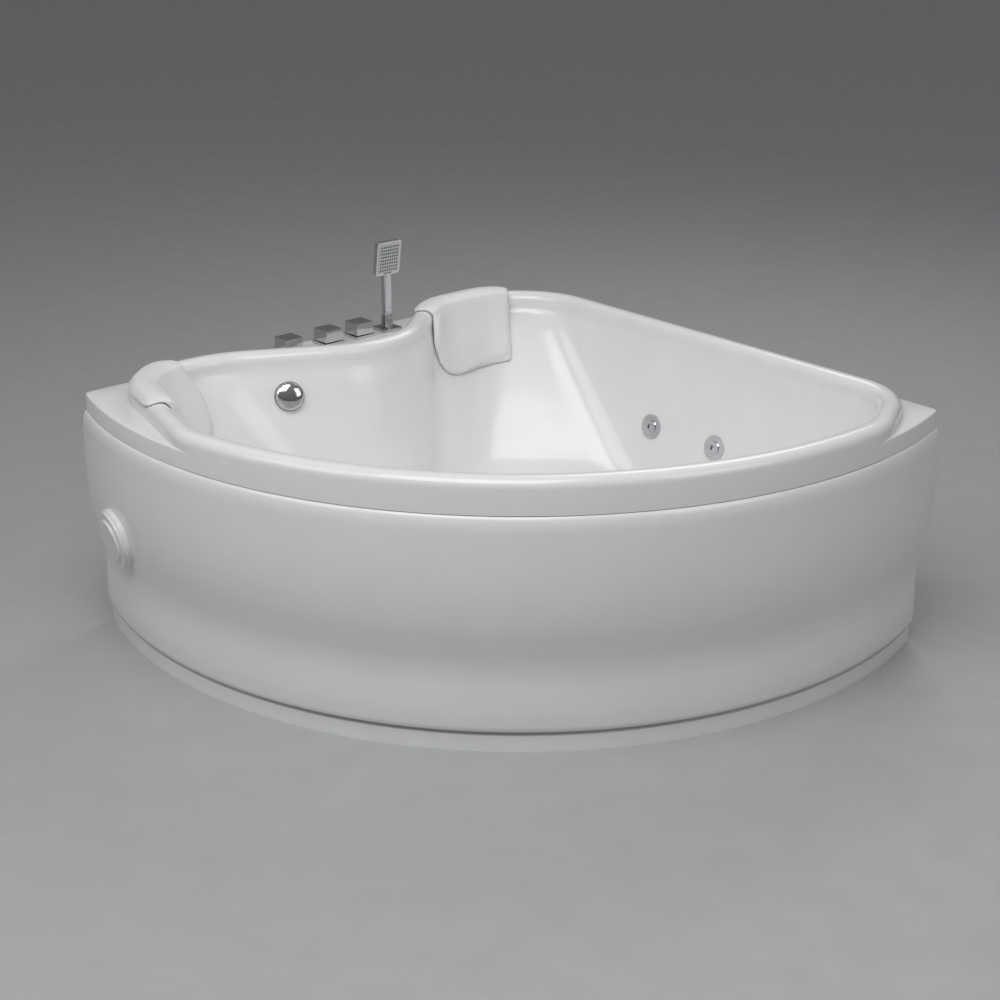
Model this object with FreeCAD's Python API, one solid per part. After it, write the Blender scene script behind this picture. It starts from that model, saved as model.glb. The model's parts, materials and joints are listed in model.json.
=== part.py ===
import FreeCAD, Part
import math
import os
from FreeCAD import Rotation, Vector

# Corner bathtub with water jets. Row frame: +Z up, front towards -Y, the two walls behind at 45 degrees.
# Plan places are given as distances off the left wall and off the right wall.

# Overall sizes
WALL_LENGTH = 1500.0
ARC_CENTRE = 531.0
DECK_Z = 635.0
RIM_Z = 675.0
SHELL = 6.0
OVERRUN = 40.0
CLEARANCE = 0.3
RUNNING = 0.05
SEAM = 0.1
PARALLEL = 1e-7

# Flange, rim and basin
SKIRT_DEPTH = 45.0
FLANGE_CORNER = 30.0
TIP_CORNER = 20.0
DECK_EDGE = 5.0
WALL_GAP = 18.0
RIM_WIDTH = 58.0
RIM_ROLL = 25.0
RIM_HOLLOW = 12.0
LEFT_END_SHARE = 0.62133
RIGHT_END_SHARE = 0.64467
LEFT_BEND_SHARE = 0.74267
RIGHT_BEND_SHARE = 0.738
LEFT_BEND_ANGLE = 30.4
RIGHT_BEND_ANGLE = 16.0
BACK_EDGE_SHARE = 0.12667
BULGE_START_SHARE = 0.27867
BULGE_PEAK_SHARE = 0.46667
BULGE_END_SHARE = 0.76267
BULGE_DEPTH_SHARE = 0.20933
BASIN_TOP = 640.0
FLOOR_Z = 185.0
FLOOR_ROUND = 100.0
FLOOR_BACK_SHARE = 0.40333
WALL_DRAW = 100.0
FLOOR_RIGHT_SHARE = 0.526
FLOOR_LEFT_SHARE = 0.34933
FLOOR_LEFT_BEND_SHARE = 0.79333
FLOOR_RIGHT_BEND_SHARE = 0.74333
# Corner radii of the rim's inner outline and of the floor outline, in the same order
RIM_ROUNDS = (185.0, 185.0, 150.0, 315.0, 300.0, 160.0, 142.0, 200.0, 200.0, 142.0, 140.0)
FLOOR_ROUNDS = (250.0, 120.0, 150.0, 200.0, 250.0, 150.0, 150.0, 180.0, 180.0, 100.0, 120.0)
# The front arc is split at these turns, and the wall between them is a true cone
FRONT_ANGLES = (-15, 44)
# Floor corners along the left, as shares of the wall length: across, and out from the wall corner
FLOOR_LEFT_SHARES = ((-0.0733, 0.4033), (-0.128, 0.458), (-0.1573, 0.5393), (-0.2827, 0.6273))
FLOOR_HEEL_SHARE = 0.7013
FLAT_CENTRE_SHARES = (0.0667, 0.7)
FLAT_SHARE = 0.86
ROUND_STEP_COUNT = 3
BEND_FLAT_COUNT = 2
FRONT_FLAT_COUNTS = (2, 10, 2)
BULGE_FLAT_COUNT = 3
WALL_FLAT_COUNT = 2
LAY_UP = 3.0

# Apron and plinth
APRON_WALL = 5.0
APRON_GAP = 4.0
APRON_LIP = 40.0
APRON_LIP_ROUND = 9.0
APRON_BAND_COUNTS = (3, 5)
APRON_BACK_BAND_COUNTS = (2, 2)
APRON_WALL_GAP = 3.0
APRON_SPAN_ANGLE = 140
APRON_FOOT_SET = 25.55
APRON_FOOT_TOP = 150.0
APRON_TURN = 16.0
APRON_TURN_RISE = 128.0
APRON_BULGE = 11.45
APRON_BULGE_Z = 440.0
APRON_TOP_SET = 1.55
PLINTH_SET = 35.55
PLINTH_HEIGHT = 40.0
PLINTH_TONGUE = 12.0
PLINTH_RECESS = 14.0

# Service hatch
HATCH_TURN_ANGLE = 53.6
HATCH_Z = 313.0
HATCH_R = 78.0
HATCH_COVER_R = 74.0
HATCH_BORE_R = 58.0
HATCH_NECK = 20.0
HATCH_COLLAR = 10.0
HATCH_GROOVE = 2.0
HATCH_COVER = 12.0
HATCH_PLUG = 22.0
HATCH_EDGE = 3.0

# Frame, board and feet
BOARD = 16.0
TUBE = 30.0
TUBE_WALL = 3.0
FRONT_RAIL_SHARE = 0.86667
FRONT_RAIL_HALF_SHARE = 0.50667
MID_RAIL_SHARE = 0.49333
CROSS_RAIL_SHARE = 0.26667
PUMP_RAIL_SPREAD = 80.0
POST_OFF = 30.0
TIP_POST_SHARE = 0.93333
LEFT_MID_POST_SHARE = 0.48667
RIGHT_MID_POST_SHARE = 0.5
BOARD_GAP = 2.0
FOOT_R = 24.0
FOOT_HEIGHT = 14.0
STUD_R = 6.0
NUT_HALF = 10.0
NUT_HEIGHT = 8.0
CLIP_WIDTH = 40.0
CLIP_WALL = 3.0
CLIP_HEIGHT = 34.0
CLIP_GRIP = 8.0
CLIP_ANGLES = (-45, -15, 15, 45)

# Jets
JET_Z = 400.0
JET_SHARES = (0.2, 0.52, 0.84)
FRONT_JET_ANGLE = 12.0
JET_HOLE_R = 22.0
JET_RING_R = 34.0
JET_RING = 5.0
JET_SEAT = 1.0
JET_PAD = 10.0
JET_PAD_R = 38.0
JET_BARREL = 27.0
JET_BORE_R = 15.0
JET_NOZZLE_R = 18.0
JET_NOZZLE_SINK = 9.0
JET_NOZZLE_RISE = 3.0
JET_ORIFICE_R = 6.0
JET_BODY_R = 31.0
JET_BODY = 52.0
JET_PORT_DEPTH = 40.0
PIPE_R = 16.0
PIPE_WALL = 3.0
LINE_OUT = 290.0

# Waste and overflow
DRAIN_X_SHARE = -0.08
DRAIN_OUT_SHARE = 0.6
DRAIN_HOLE_R = 26.0
DRAIN_FLANGE_R = 36.0
DRAIN_FLANGE = 3.0
DRAIN_BARREL = 40.0
DRAIN_WALL = 4.0
DRAIN_WEB = 6.0
PLUG_R = 31.0
PLUG_RISE = 7.0
PLUG_STEM_R = 4.0
PLUG_STEM = 48.0
WASTE_R = 40.0
WASTE_BOTTOM = 50.0
WASTE_PORT = 66.0
OUTLET_R = 20.0
OUTLET_Z = 78.0
OUTLET_LENGTH = 380.0
OUTLET_WALL = 3.0
OUTLET_END = 60.0
OUTLET_BEAD = 6.0
OVERFLOW_SHARE = 0.73
OVERFLOW_Z = 560.0
OVERFLOW_HOLE_R = 27.0
OVERFLOW_RING_R = 40.0
OVERFLOW_RING = 4.0
OVERFLOW_SEAT = 2.0
OVERFLOW_PAD = 12.0
OVERFLOW_BARREL = 26.0
KNOB_R = 37.0
KNOB_RISE = 17.0
KNOB_RIM = 5.0
KNOB_GAP = 3.0
KNOB_SHARES = ((1, 0), (0.6, 1), (0, 1))
KNOB_STEM_R = 5.0
OVERFLOW_BODY_R = 36.0
OVERFLOW_BODY = 40.0
OVERFLOW_DROP = 70.0
OVERFLOW_PIPE_R = 16.0
OVERFLOW_RUN_Z = 105.0

# Suction and pump
SUCTION_SHARE = 0.5
SUCTION_Z = 300.0
SUCTION_HOLE_R = 30.0
SUCTION_COVER_R = 52.0
SUCTION_COVER = 9.0
SUCTION_WALL = 3.0
SUCTION_SLOT_COUNT = 10
SUCTION_SLOT = 6.0
SUCTION_BODY = 20.0
SUCTION_FLANGE_R = 46.0
SUCTION_PIPE_R = 20.0
PUMP_Z = 258.0
PUMP_VOLUTE_R = 78.0
PUMP_VOLUTE = 56.0
PUMP_INLET = 26.0
PUMP_FACE_SHARE = 0.47667
PUMP_MOTOR_R = 62.0
PUMP_MOTOR = 150.0
PUMP_WALL = 5.0
PUMP_PLATE = 8.0
PUMP_FIN_COUNT = 14
PUMP_FIN = 5.0
PUMP_HUB_R = 15.0
PUMP_BASE = 8.0
PUMP_BASE_WIDTH = 130.0
PUMP_LEG = 14.0

# Deck fittings
FITTING_OFF = 55.0
SHOWER_ALONG_SHARE = 0.38533
COLD_ALONG_SHARE = 0.45067
HOT_ALONG_SHARE = 0.52133
DIVERTER_ALONG_SHARE = 0.608
BUTTON_ALONG_SHARE = 0.66667
BUTTON_OFF = 36.0
HANDLE_SIDE = 56.0
HANDLE_HEIGHT = 33.0
HANDLE_EDGE = 2.0
HANDLE_GAP = 2.0
PLATE_SIDE = 64.0
PLATE = 8.0
PLATE_EDGE = 1.5
STEM_R = 8.0
STEM_DEPTH = 40.0
SHANK_R = 16.0
SHANK_LENGTH = 44.0
VALVE_R = 26.0
VALVE_BODY = 40.0
INLET_R = 10.48
INLET_LENGTH = 24.0
INLET_SIDE = 14.0
DECK_NUT_HALF = 23.0
DECK_NUT = 9.0
HOLDER_SIDE = 60.0
HOLDER_PLATE = 8.0
HOLDER_R = 17.0
HOLDER_TOP_R = 15.0
HOLDER_HEIGHT = 34.0
HANDSET_R = 11.0
HANDSET_SINK = 28.0
STICK_WIDTH = 25.0
STICK_DEPTH = 20.0
STICK_EDGE = 5.0
STICK_LENGTH = 118.0
HEAD_WIDTH = 82.0
HEAD_HEIGHT = 97.0
HEAD_THICK = 13.0
HEAD_EDGE = 7.0
HEAD_LEAN_ANGLE = 8.0
FACE_MARGIN = 7.0
FACE_THICK = 2.0
BEZEL_R = 19.0
BEZEL = 5.0
BUTTON_R = 13.0
BUTTON_RISE = 4.0
BUTTON_TRAVEL = 3.0

# Headrests
PAD_WIDTH = 310.0
PAD_THICK = 26.0
PAD_DROP = 135.0
PAD_CROWN = 9.0
PAD_END_SHARE = 0.55
PAD_CAP_SHARE = 0.7
PAD_STATION_COUNT = 11
PAD_EASE = 1.5
PAD_ALONG = 191.0
PAD_HOOK = 40.0

ROOT2 = math.sqrt(2)
UP = Vector(0, 0, 1)
FLANGE_R = math.sqrt(WALL_LENGTH ** 2 - ROOT2 * ARC_CENTRE * WALL_LENGTH + ARC_CENTRE ** 2)
APRON_FOOT_R = FLANGE_R - APRON_FOOT_SET
APRON_BULGE_R = FLANGE_R + APRON_BULGE
APRON_TOP_R = FLANGE_R - APRON_TOP_SET
PLINTH_R = FLANGE_R - PLINTH_SET
LEFT_END = LEFT_END_SHARE * WALL_LENGTH
RIGHT_END = RIGHT_END_SHARE * WALL_LENGTH
LEFT_BEND = LEFT_BEND_SHARE * WALL_LENGTH
RIGHT_BEND = RIGHT_BEND_SHARE * WALL_LENGTH
BACK_EDGE = BACK_EDGE_SHARE * WALL_LENGTH
BULGE_START = BULGE_START_SHARE * WALL_LENGTH
BULGE_PEAK = BULGE_PEAK_SHARE * WALL_LENGTH
BULGE_END = BULGE_END_SHARE * WALL_LENGTH
BULGE_DEPTH = BULGE_DEPTH_SHARE * WALL_LENGTH
FLOOR_BACK = FLOOR_BACK_SHARE * WALL_LENGTH
FLOOR_RIGHT = FLOOR_RIGHT_SHARE * WALL_LENGTH
FLOOR_LEFT = FLOOR_LEFT_SHARE * WALL_LENGTH
FLOOR_LEFT_BEND = FLOOR_LEFT_BEND_SHARE * WALL_LENGTH
FLOOR_RIGHT_BEND = FLOOR_RIGHT_BEND_SHARE * WALL_LENGTH
FRONT_RAIL = FRONT_RAIL_SHARE * WALL_LENGTH
FRONT_RAIL_HALF = FRONT_RAIL_HALF_SHARE * WALL_LENGTH
MID_RAIL = MID_RAIL_SHARE * WALL_LENGTH
CROSS_RAIL = CROSS_RAIL_SHARE * WALL_LENGTH
TIP_POST = TIP_POST_SHARE * WALL_LENGTH
LEFT_MID_POST = LEFT_MID_POST_SHARE * WALL_LENGTH
RIGHT_MID_POST = RIGHT_MID_POST_SHARE * WALL_LENGTH
SHOWER_ALONG = SHOWER_ALONG_SHARE * WALL_LENGTH
COLD_ALONG = COLD_ALONG_SHARE * WALL_LENGTH
HOT_ALONG = HOT_ALONG_SHARE * WALL_LENGTH
DIVERTER_ALONG = DIVERTER_ALONG_SHARE * WALL_LENGTH
BUTTON_ALONG = BUTTON_ALONG_SHARE * WALL_LENGTH
DRAIN_X = DRAIN_X_SHARE * WALL_LENGTH
DRAIN_OUT = DRAIN_OUT_SHARE * WALL_LENGTH
PUMP_FACE = PUMP_FACE_SHARE * WALL_LENGTH
CORNER_Y = (ARC_CENTRE + APRON_BULGE_R + FLANGE_CORNER * (ROOT2 - 1)) / 2
AXIS_Y = CORNER_Y - ARC_CENTRE
AXIS = Vector(0, AXIS_Y, 0)
RIM_EDGE = RIM_ROLL * (2 - ROOT2)
RIM_IN = WALL_GAP + RIM_WIDTH
RIM_IN_R = FLANGE_R - RIM_WIDTH
FLOOR_IN_R = RIM_IN_R - WALL_DRAW
SKIRT_Z = DECK_Z - SKIRT_DEPTH
BOARD_Z = FLOOR_Z - SHELL - BOARD
FRAME_Z = BOARD_Z - TUBE
ALONG_LEFT = Vector(-1, -1, 0) / ROOT2
FRONT_ARC_INDEX = 7
REFLEX_INDEX = 3
REFLEX_BEND_INDEX = 2 * REFLEX_INDEX
BULGE_SIDE_INDEXES = (5, 7, 9)
OVERFLOW_SIDE_INDEX = 7
LEFT_SIDE_INDEX = 11
FRONT_SIDE_INDEX = 2 * FRONT_ARC_INDEX + 1
RIGHT_SIDE_INDEX = -1
BACK_PAD_EDGE_INDEX = 2
LEFT_PAD_EDGE_INDEX = 10
LEFT_RUN = Vector(math.sin(math.radians(LEFT_BEND_ANGLE)), -math.cos(math.radians(LEFT_BEND_ANGLE)), 0)
RIGHT_RUN = Vector(-math.sin(math.radians(RIGHT_BEND_ANGLE)), -math.cos(math.radians(RIGHT_BEND_ANGLE)), 0)

nodes = {}


def plan(off_left, off_right, z=0):
    """Point from its distances off the left wall and off the right wall."""
    return Vector((off_left - off_right) / ROOT2, CORNER_Y - (off_left + off_right) / ROOT2, z)


def out(x, distance, z=0):
    """Point from its place across and its distance out from the wall corner."""
    return Vector(x, CORNER_Y - distance, z)


def polar(radius, turn, z=0):
    """Point about the front arc's axis, turned from straight ahead towards the right."""
    angle = math.radians(turn)
    return Vector(radius * math.sin(angle), AXIS_Y - radius * math.cos(angle), z)


def on_arc(start, run, radius, centre):
    """Point where a run from a start inside a circle leaves it."""
    reach = start - centre
    along = reach.dot(run)
    return start + run * (math.sqrt(along ** 2 + radius ** 2 - reach.dot(reach)) - along)


def lerp(start, end, share):
    return start + (end - start) * share


def rod(radius, start, end):
    """Cylinder from one point to another."""
    return Part.makeCylinder(radius, (end - start).Length, start, end - start)


def tube(radius, bore, start, end):
    return rod(radius, start, end).cut(rod(bore, start, end))


def stand(shape, base, axis, across=None):
    """Shape modelled about +Z, put at a base with +Z turned to an axis and +X towards another."""
    turn = Rotation(UP, axis)
    if across is not None:
        side = axis.cross(across)
        turn = Rotation(across, side, axis, "ZXY")
    placed = shape.copy()
    placed.Placement = FreeCAD.Placement(base, turn).multiply(placed.Placement)
    return placed


def polygon(points):
    return Part.Face(Part.makePolygon(list(points) + [points[0]]))


def turned(profile):
    """Solid of revolution about +Z from radius and height pairs."""
    face = polygon([Vector(radius, 0, height) for radius, height in profile])
    return face.revolve(Vector(), UP, 360)


def slab(width, depth, height, edge):
    """Block centred on +Z with rounded upright edges."""
    block = Part.makeBox(width, depth, height, Vector(-width / 2, -depth / 2, 0))
    return block.makeFillet(edge, upright(block))


def upright(shape):
    thin = [edge for edge in shape.Edges if edge.BoundBox.XLength < SEAM]
    return [edge for edge in thin if edge.BoundBox.YLength < SEAM]


def level(shape, z):
    flat = [edge for edge in shape.Edges if edge.BoundBox.ZLength < SEAM]
    return [edge for edge in flat if abs(edge.BoundBox.ZMin - z) < SEAM]


def hexagon(half, height):
    """Hexagon prism about +Z, half its width across flats."""
    reach = half / math.cos(math.pi / 6)
    ring = [Vector(reach * math.cos(turn * math.pi / 3), reach * math.sin(turn * math.pi / 3), 0)
            for turn in range(6)]
    return polygon(ring).extrude(Vector(0, 0, height))


def half_space(corner, facing, radius):
    """Block that lies behind a mitre."""
    side = 4 * radius
    block = Part.makeBox(side, side, side, Vector(-side / 2, -side / 2, -side))
    return stand(block, corner, facing.normalize())


def pipe(points, radius, wall):
    """Hollow pipe of straight runs from point to point, mitred at the corners."""
    ways = [(after - before).normalize() for before, after in zip(points, points[1:])]
    runs = []
    for index, way in enumerate(ways):
        last = index + 1 == len(ways)
        start = points[index] - way * (radius if index else 0)
        end = points[index + 1] + way * (0 if last else radius)
        run = tube(radius, radius - wall, start, end)
        if index:
            run = run.cut(half_space(points[index], way + ways[index - 1], radius))
        if not last:
            run = run.cut(half_space(points[index + 1], (way + ways[index + 1]) * -1, radius))
        runs.append(run)
    return runs[0].fuse(runs[1:]) if len(runs) > 1 else runs[0]


# Plan outlines of the basin
def rim_corners():
    """Corners of the rim's inner outline, from the back round by the left."""
    back = BACK_EDGE * ROOT2 - RIM_IN
    left = LEFT_END - RIM_WIDTH
    right = RIGHT_END - RIM_WIDTH
    corners = [plan(back, RIM_IN), plan(RIM_IN, back), plan(RIM_IN, BULGE_START)]
    corners += [plan(BULGE_DEPTH, BULGE_PEAK), plan(RIM_IN, BULGE_END)]
    corners += [out(-left, RIM_IN * ROOT2 + left)]
    return corners + front_corners(-left, LEFT_BEND, right, RIGHT_BEND, RIM_IN, RIM_IN_R)


def front_corners(left, left_bend, right, right_bend, inset, radius):
    """Corners from the left end round the front arc to the right end."""
    turn_left = out(left, left_bend)
    turn_right = out(right, right_bend)
    ends = [on_arc(turn_left, LEFT_RUN, radius, AXIS), on_arc(turn_right, RIGHT_RUN, radius, AXIS)]
    return [turn_left] + ends + [turn_right, out(right, inset * ROOT2 + right)]


def floor_corners():
    """Corners of the basin where its walls would meet the floor, in the same order."""
    inset = RIM_IN + WALL_DRAW
    corners = [plan(FLOOR_BACK * ROOT2 - inset, inset)]
    corners += [out(x * WALL_LENGTH, y * WALL_LENGTH) for x, y in FLOOR_LEFT_SHARES]
    corners += [out(-FLOOR_LEFT, FLOOR_HEEL_SHARE * WALL_LENGTH)]
    ends = (-FLOOR_LEFT, FLOOR_LEFT_BEND, FLOOR_RIGHT, FLOOR_RIGHT_BEND)
    return corners + front_corners(*ends, inset, FLOOR_IN_R)


RIM_CORNERS = rim_corners()
FLOOR_CORNERS = floor_corners()
FLAT_CENTRE = out(FLAT_CENTRE_SHARES[0] * WALL_LENGTH, FLAT_CENTRE_SHARES[1] * WALL_LENGTH)
FLAT_CORNERS = [lerp(FLAT_CENTRE, corner, FLAT_SHARE) for corner in FLOOR_CORNERS]
FLAT_AXIS = lerp(FLAT_CENTRE, AXIS, FLAT_SHARE)
WALL_FOOT = FLOOR_Z + FLOOR_ROUND
FLAT_ROUNDS = [size * FLAT_SHARE for size in FLOOR_ROUNDS]


def rounded(corners, rounds, front=None, arc_from=None):
    """Flat face on the given corners, one side an arc where a front point is given, corners rounded."""
    edges = []
    for index, start in enumerate(corners):
        end = corners[(index + 1) % len(corners)]
        if index == arc_from:
            edges.append(Part.Arc(start, front, end).toShape())
        else:
            edges.append(Part.LineSegment(start, end).toShape())
    block = Part.Face(Part.Wire(edges)).extrude(UP * SHELL)
    for corner, size in zip(corners, rounds):
        if size:
            near = [edge for edge in upright(block) if corner.distanceToPoint(edge.BoundBox.Center) < SHELL]
            block = block.makeFillet(size, near)
    return [face for face in block.Faces if face.BoundBox.ZMax < SEAM][0]


def line(start, end):
    return Part.LineSegment(start, end).toShape()


def arc(start, middle, end):
    return Part.Arc(start, middle, end).toShape()


def side_bend(before, corner, after, size, spread):
    """Start, middle and end of the round at a corner of two sides moved outwards by a spread."""
    into = (corner - before).normalize()
    away = (after - corner).normalize()
    half = into.getAngle(away) / 2
    peak = moved_corner(before, corner, after, spread)
    middle = peak + (away - into).normalize() * size * (1 / math.cos(half) - 1)
    return peak - into * size * math.tan(half), middle, peak + away * size * math.tan(half)


def arc_bend(far, corner, centre, radius, size, spread):
    """Round between a side that comes from a far corner and the front arc."""
    run = (corner - far).normalize()
    normal = Vector(run.y, -run.x, 0)
    if normal.dot(corner - FLAT_CENTRE) < 0:
        normal = normal * -1
    hub = on_arc(far + normal * (spread - size), run, radius - size, centre)
    outward = (hub - centre).normalize()
    return hub + normal * size, hub + (normal + outward).normalize() * size, hub + outward * size


def front_arcs(start, end, centre, radius):
    """Front arc in three pieces, split at the front turns."""
    splits = [centre + polar(radius, turn) - AXIS for turn in FRONT_ANGLES]
    arcs = []
    for first, last in zip([start] + splits, splits + [end]):
        middle = centre + (first + last - centre * 2).normalize() * radius
        arcs.append(arc(first, middle, last))
    return arcs


def outline(z, flat=0, spread=0):
    """Basin outline at a height, each corner's round and then the side after it.

    It is drawn in towards the flat of the floor by a share and then moved outwards by a spread.
    """
    depth = min(max((BASIN_TOP - z) / (BASIN_TOP - FLOOR_Z), 0), 1)
    walls = [lerp(top, low, depth) for top, low in zip(RIM_CORNERS, FLOOR_CORNERS)]
    corners = [lerp(wall, floor, flat) for wall, floor in zip(walls, FLAT_CORNERS)]
    sizes = [lerp(top, low, depth) for top, low in zip(RIM_ROUNDS, FLOOR_ROUNDS)]
    sizes = [lerp(wall, floor, flat) for wall, floor in zip(sizes, FLAT_ROUNDS)]
    centre = lerp(AXIS, FLAT_AXIS, flat)
    radius = lerp(lerp(RIM_IN_R, FLOOR_IN_R, depth), FLOOR_IN_R * FLAT_SHARE, flat) + spread
    bends = []
    for index, corner in enumerate(corners):
        before = corners[index - 1]
        after = corners[(index + 1) % len(corners)]
        size = sizes[index] + (-spread if index == REFLEX_INDEX else spread)
        if index == FRONT_ARC_INDEX:
            bends.append(arc_bend(before, corner, centre, radius, size, spread))
        elif index == FRONT_ARC_INDEX + 1:
            bends.append(arc_bend(after, corner, centre, radius, size, spread)[::-1])
        else:
            bends.append(side_bend(before, corner, after, size, spread))
    edges = []
    for index, (start, middle, end) in enumerate(bends):
        following = bends[(index + 1) % len(bends)][0]
        edges.append(arc(start, middle, end))
        if index == FRONT_ARC_INDEX:
            edges += front_arcs(end, following, centre, radius)
        else:
            edges.append(line(end, following))
    return edges


def area(edges):
    return Part.Face(Part.Wire(edges))


def wall_face(high, low):
    """Face between two level sides: flat or conical where it can be, otherwise ruled."""
    top = [vertex.Point for vertex in high.Vertexes]
    foot = [vertex.Point for vertex in low.Vertexes]
    twist = (top[1] - top[0]).getAngle(foot[1] - foot[0])
    if high.Curve.TypeId == "Part::GeomLine" and twist < PARALLEL:
        return polygon([top[0], top[1], foot[1], foot[0]])
    if high.Curve.TypeId == "Part::GeomCircle":
        shift = high.Curve.Center - low.Curve.Center
        angle = math.degrees(high.LastParameter - high.FirstParameter)
        if Vector(shift.x, shift.y, 0).Length < SEAM and twist < PARALLEL:
            return line(top[0], foot[0]).revolve(high.Curve.Center, UP, angle)
    return Part.makeRuledSurface(high, low)


def closed(faces):
    """Solid inside faces that meet edge to edge."""
    shell = Part.makeShell(faces)
    shell.sewShape()
    solid = Part.makeSolid(Part.makeShell(shell.Faces))
    if solid.Volume < 0:
        solid.reverse()
    return solid


def basin_levels(grow, bands):
    """Outlines of the basin with their heights, from the rim down to the flat of the floor."""
    heights = [lerp(BASIN_TOP, WALL_FOOT, band / bands) for band in range(bands + 1)]
    levels = [(outline(z, 0, grow), z) for z in heights]
    for step in range(1, ROUND_STEP_COUNT + 1):
        angle = math.pi / 2 * step / ROUND_STEP_COUNT
        z = WALL_FOOT - FLOOR_ROUND * math.sin(angle)
        edges = outline(z, 1 - math.cos(angle), grow * math.cos(angle))
        levels.append((edges, z - grow * math.sin(angle)))
    return levels


def basin():
    """Space of the basin below the rim."""
    rings = [[edge.translated(UP * z) for edge in edges] for edges, z in basin_levels(0, 1)]
    faces = [area(rings[0]), area(rings[-1])]
    for upper, lower in zip(rings, rings[1:]):
        faces += [wall_face(high, low) for high, low in zip(upper, lower)]
    return closed(faces)


def flats(edges, z):
    """Points of a many-sided outline that lies just outside a rounded one."""
    points = []
    for index, edge in enumerate(edges):
        first = edge.FirstParameter
        span = edge.LastParameter - first
        if edge.Curve.TypeId == "Part::GeomCircle":
            front = index - FRONT_SIDE_INDEX
            count = FRONT_FLAT_COUNTS[front] if front in range(len(FRONT_FLAT_COUNTS)) else BEND_FLAT_COUNT
            reach = 1 if index == REFLEX_BEND_INDEX else 1 / math.cos(span / count / 2)
            for place in range(count):
                spoke = edge.valueAt(first + span * (place + 1 / 2) / count) - edge.Curve.Center
                points.append(edge.Curve.Center + spoke * reach + UP * z)
        elif index in BULGE_SIDE_INDEXES:
            for place in range(BULGE_FLAT_COUNT + 1):
                points.append(edge.valueAt(first + span * place / BULGE_FLAT_COUNT) + UP * z)
    return points


def bowl():
    """Outer form of the basin, laid up in flats around it."""
    rings = [flats(edges, z) for edges, z in basin_levels(SHELL, WALL_FLAT_COUNT)]
    faces = [polygon(rings[0]), polygon(rings[-1])]
    for upper, lower in zip(rings, rings[1:]):
        for index, low in enumerate(lower):
            high = upper[index]
            side = high - upper[index - 1]
            outward = Vector(side.y, -side.x, 0)
            if outward.dot(upper[index - 1] + low - high - lower[index - 1]) > 0:
                faces.append(polygon([upper[index - 1], high, low]))
                faces.append(polygon([upper[index - 1], low, lower[index - 1]]))
            else:
                faces.append(polygon([upper[index - 1], high, lower[index - 1]]))
                faces.append(polygon([high, low, lower[index - 1]]))
    return closed(faces)


def prism(face, bottom, top):
    solid = face.extrude(UP * (top - bottom))
    solid.translate(UP * bottom)
    return solid


def flange_face():
    """Outline of the deck flange: two wall sides and the front arc."""
    tip_left = plan(0, WALL_LENGTH)
    tip_right = plan(WALL_LENGTH, 0)
    corners = [plan(0, 0), tip_left, tip_right]
    return rounded(corners, (FLANGE_CORNER, TIP_CORNER, TIP_CORNER), polar(FLANGE_R, 0), 1)


def moved_corner(before, corner, after, distance):
    """Corner of two sides that are both moved outwards by a distance."""
    into = (corner - before).normalize()
    away = (after - corner).normalize()
    normal_in = Vector(into.y, -into.x, 0)
    normal_away = Vector(away.y, -away.x, 0)
    both = normal_in + normal_away
    return corner + both * (distance / (1 + normal_in.dot(normal_away)))


def rim_outer_face():
    """Outer outline of the raised rim, cut flush with the flange along the front."""
    ring = RIM_CORNERS
    places = [index - 2 for index in range(len(ring) - 2)]
    corners = [moved_corner(ring[index - 1], ring[index], ring[index + 1], RIM_WIDTH) for index in places]
    rounds = [RIM_ROUNDS[index] + (-RIM_WIDTH if index == REFLEX_INDEX else RIM_WIDTH) for index in places]
    corners += [corners[-1] + LEFT_RUN * WALL_LENGTH, corners[0] + RIGHT_RUN * WALL_LENGTH]
    rounds += [0, 0]
    wide = prism(rounded(corners, rounds), 0, SHELL)
    trimmed = wide.common(prism(flange_face(), 0, SHELL))
    return [face for face in trimmed.Faces if face.BoundBox.ZMax < SEAM][0]


def plain(face):
    """Many-sided face inside a rounded one, for hidden hollows."""
    return polygon(face.OuterWire.discretize(Deflection=LAY_UP)[:-1])


def rim_ring(outer, inner, bottom, top, roll):
    """Ring between two outlines with both top edges sloped as the roll is."""
    ring = prism(outer, bottom, top).cut(prism(inner, bottom, top))
    return ring.makeChamfer(roll, level(ring, top))


def wall_seat(index, share, z):
    """Point on a basin wall, its normal into the basin and the way along it."""
    high = outline(BASIN_TOP)[index]
    low = outline(WALL_FOOT)[index]
    depth = (BASIN_TOP - z) / (BASIN_TOP - WALL_FOOT)
    places = []
    runs = []
    for edge in (high, low):
        turn = lerp(edge.FirstParameter, edge.LastParameter, share)
        places.append(edge.valueAt(turn))
        runs.append(edge.tangentAt(turn) * edge.Length)
    along = lerp(runs[0], runs[1], depth).normalize()
    down = places[1] - places[0] - UP * (BASIN_TOP - WALL_FOOT)
    normal = along.cross(down).normalize()
    if normal.z < 0:
        normal = normal * -1
    return lerp(places[0], places[1], depth) + UP * z, normal, along


def jet_seats():
    """Places of the jets in the order of the pipe: the front wall, then along the right wall."""
    seats = []
    slope = math.atan2(WALL_DRAW, BASIN_TOP - FLOOR_Z)
    radius = lerp(RIM_IN_R, FLOOR_IN_R, (BASIN_TOP - JET_Z) / (BASIN_TOP - FLOOR_Z))
    for turn in (-FRONT_JET_ANGLE, FRONT_JET_ANGLE):
        outward = polar(1, turn) - polar(0, turn)
        normal = UP * math.sin(slope) - outward * math.cos(slope)
        seats.append((polar(radius, turn, JET_Z), normal, Vector(-outward.y, outward.x, 0)))
    return seats + [wall_seat(RIGHT_SIDE_INDEX, share, JET_Z) for share in JET_SHARES]


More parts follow.
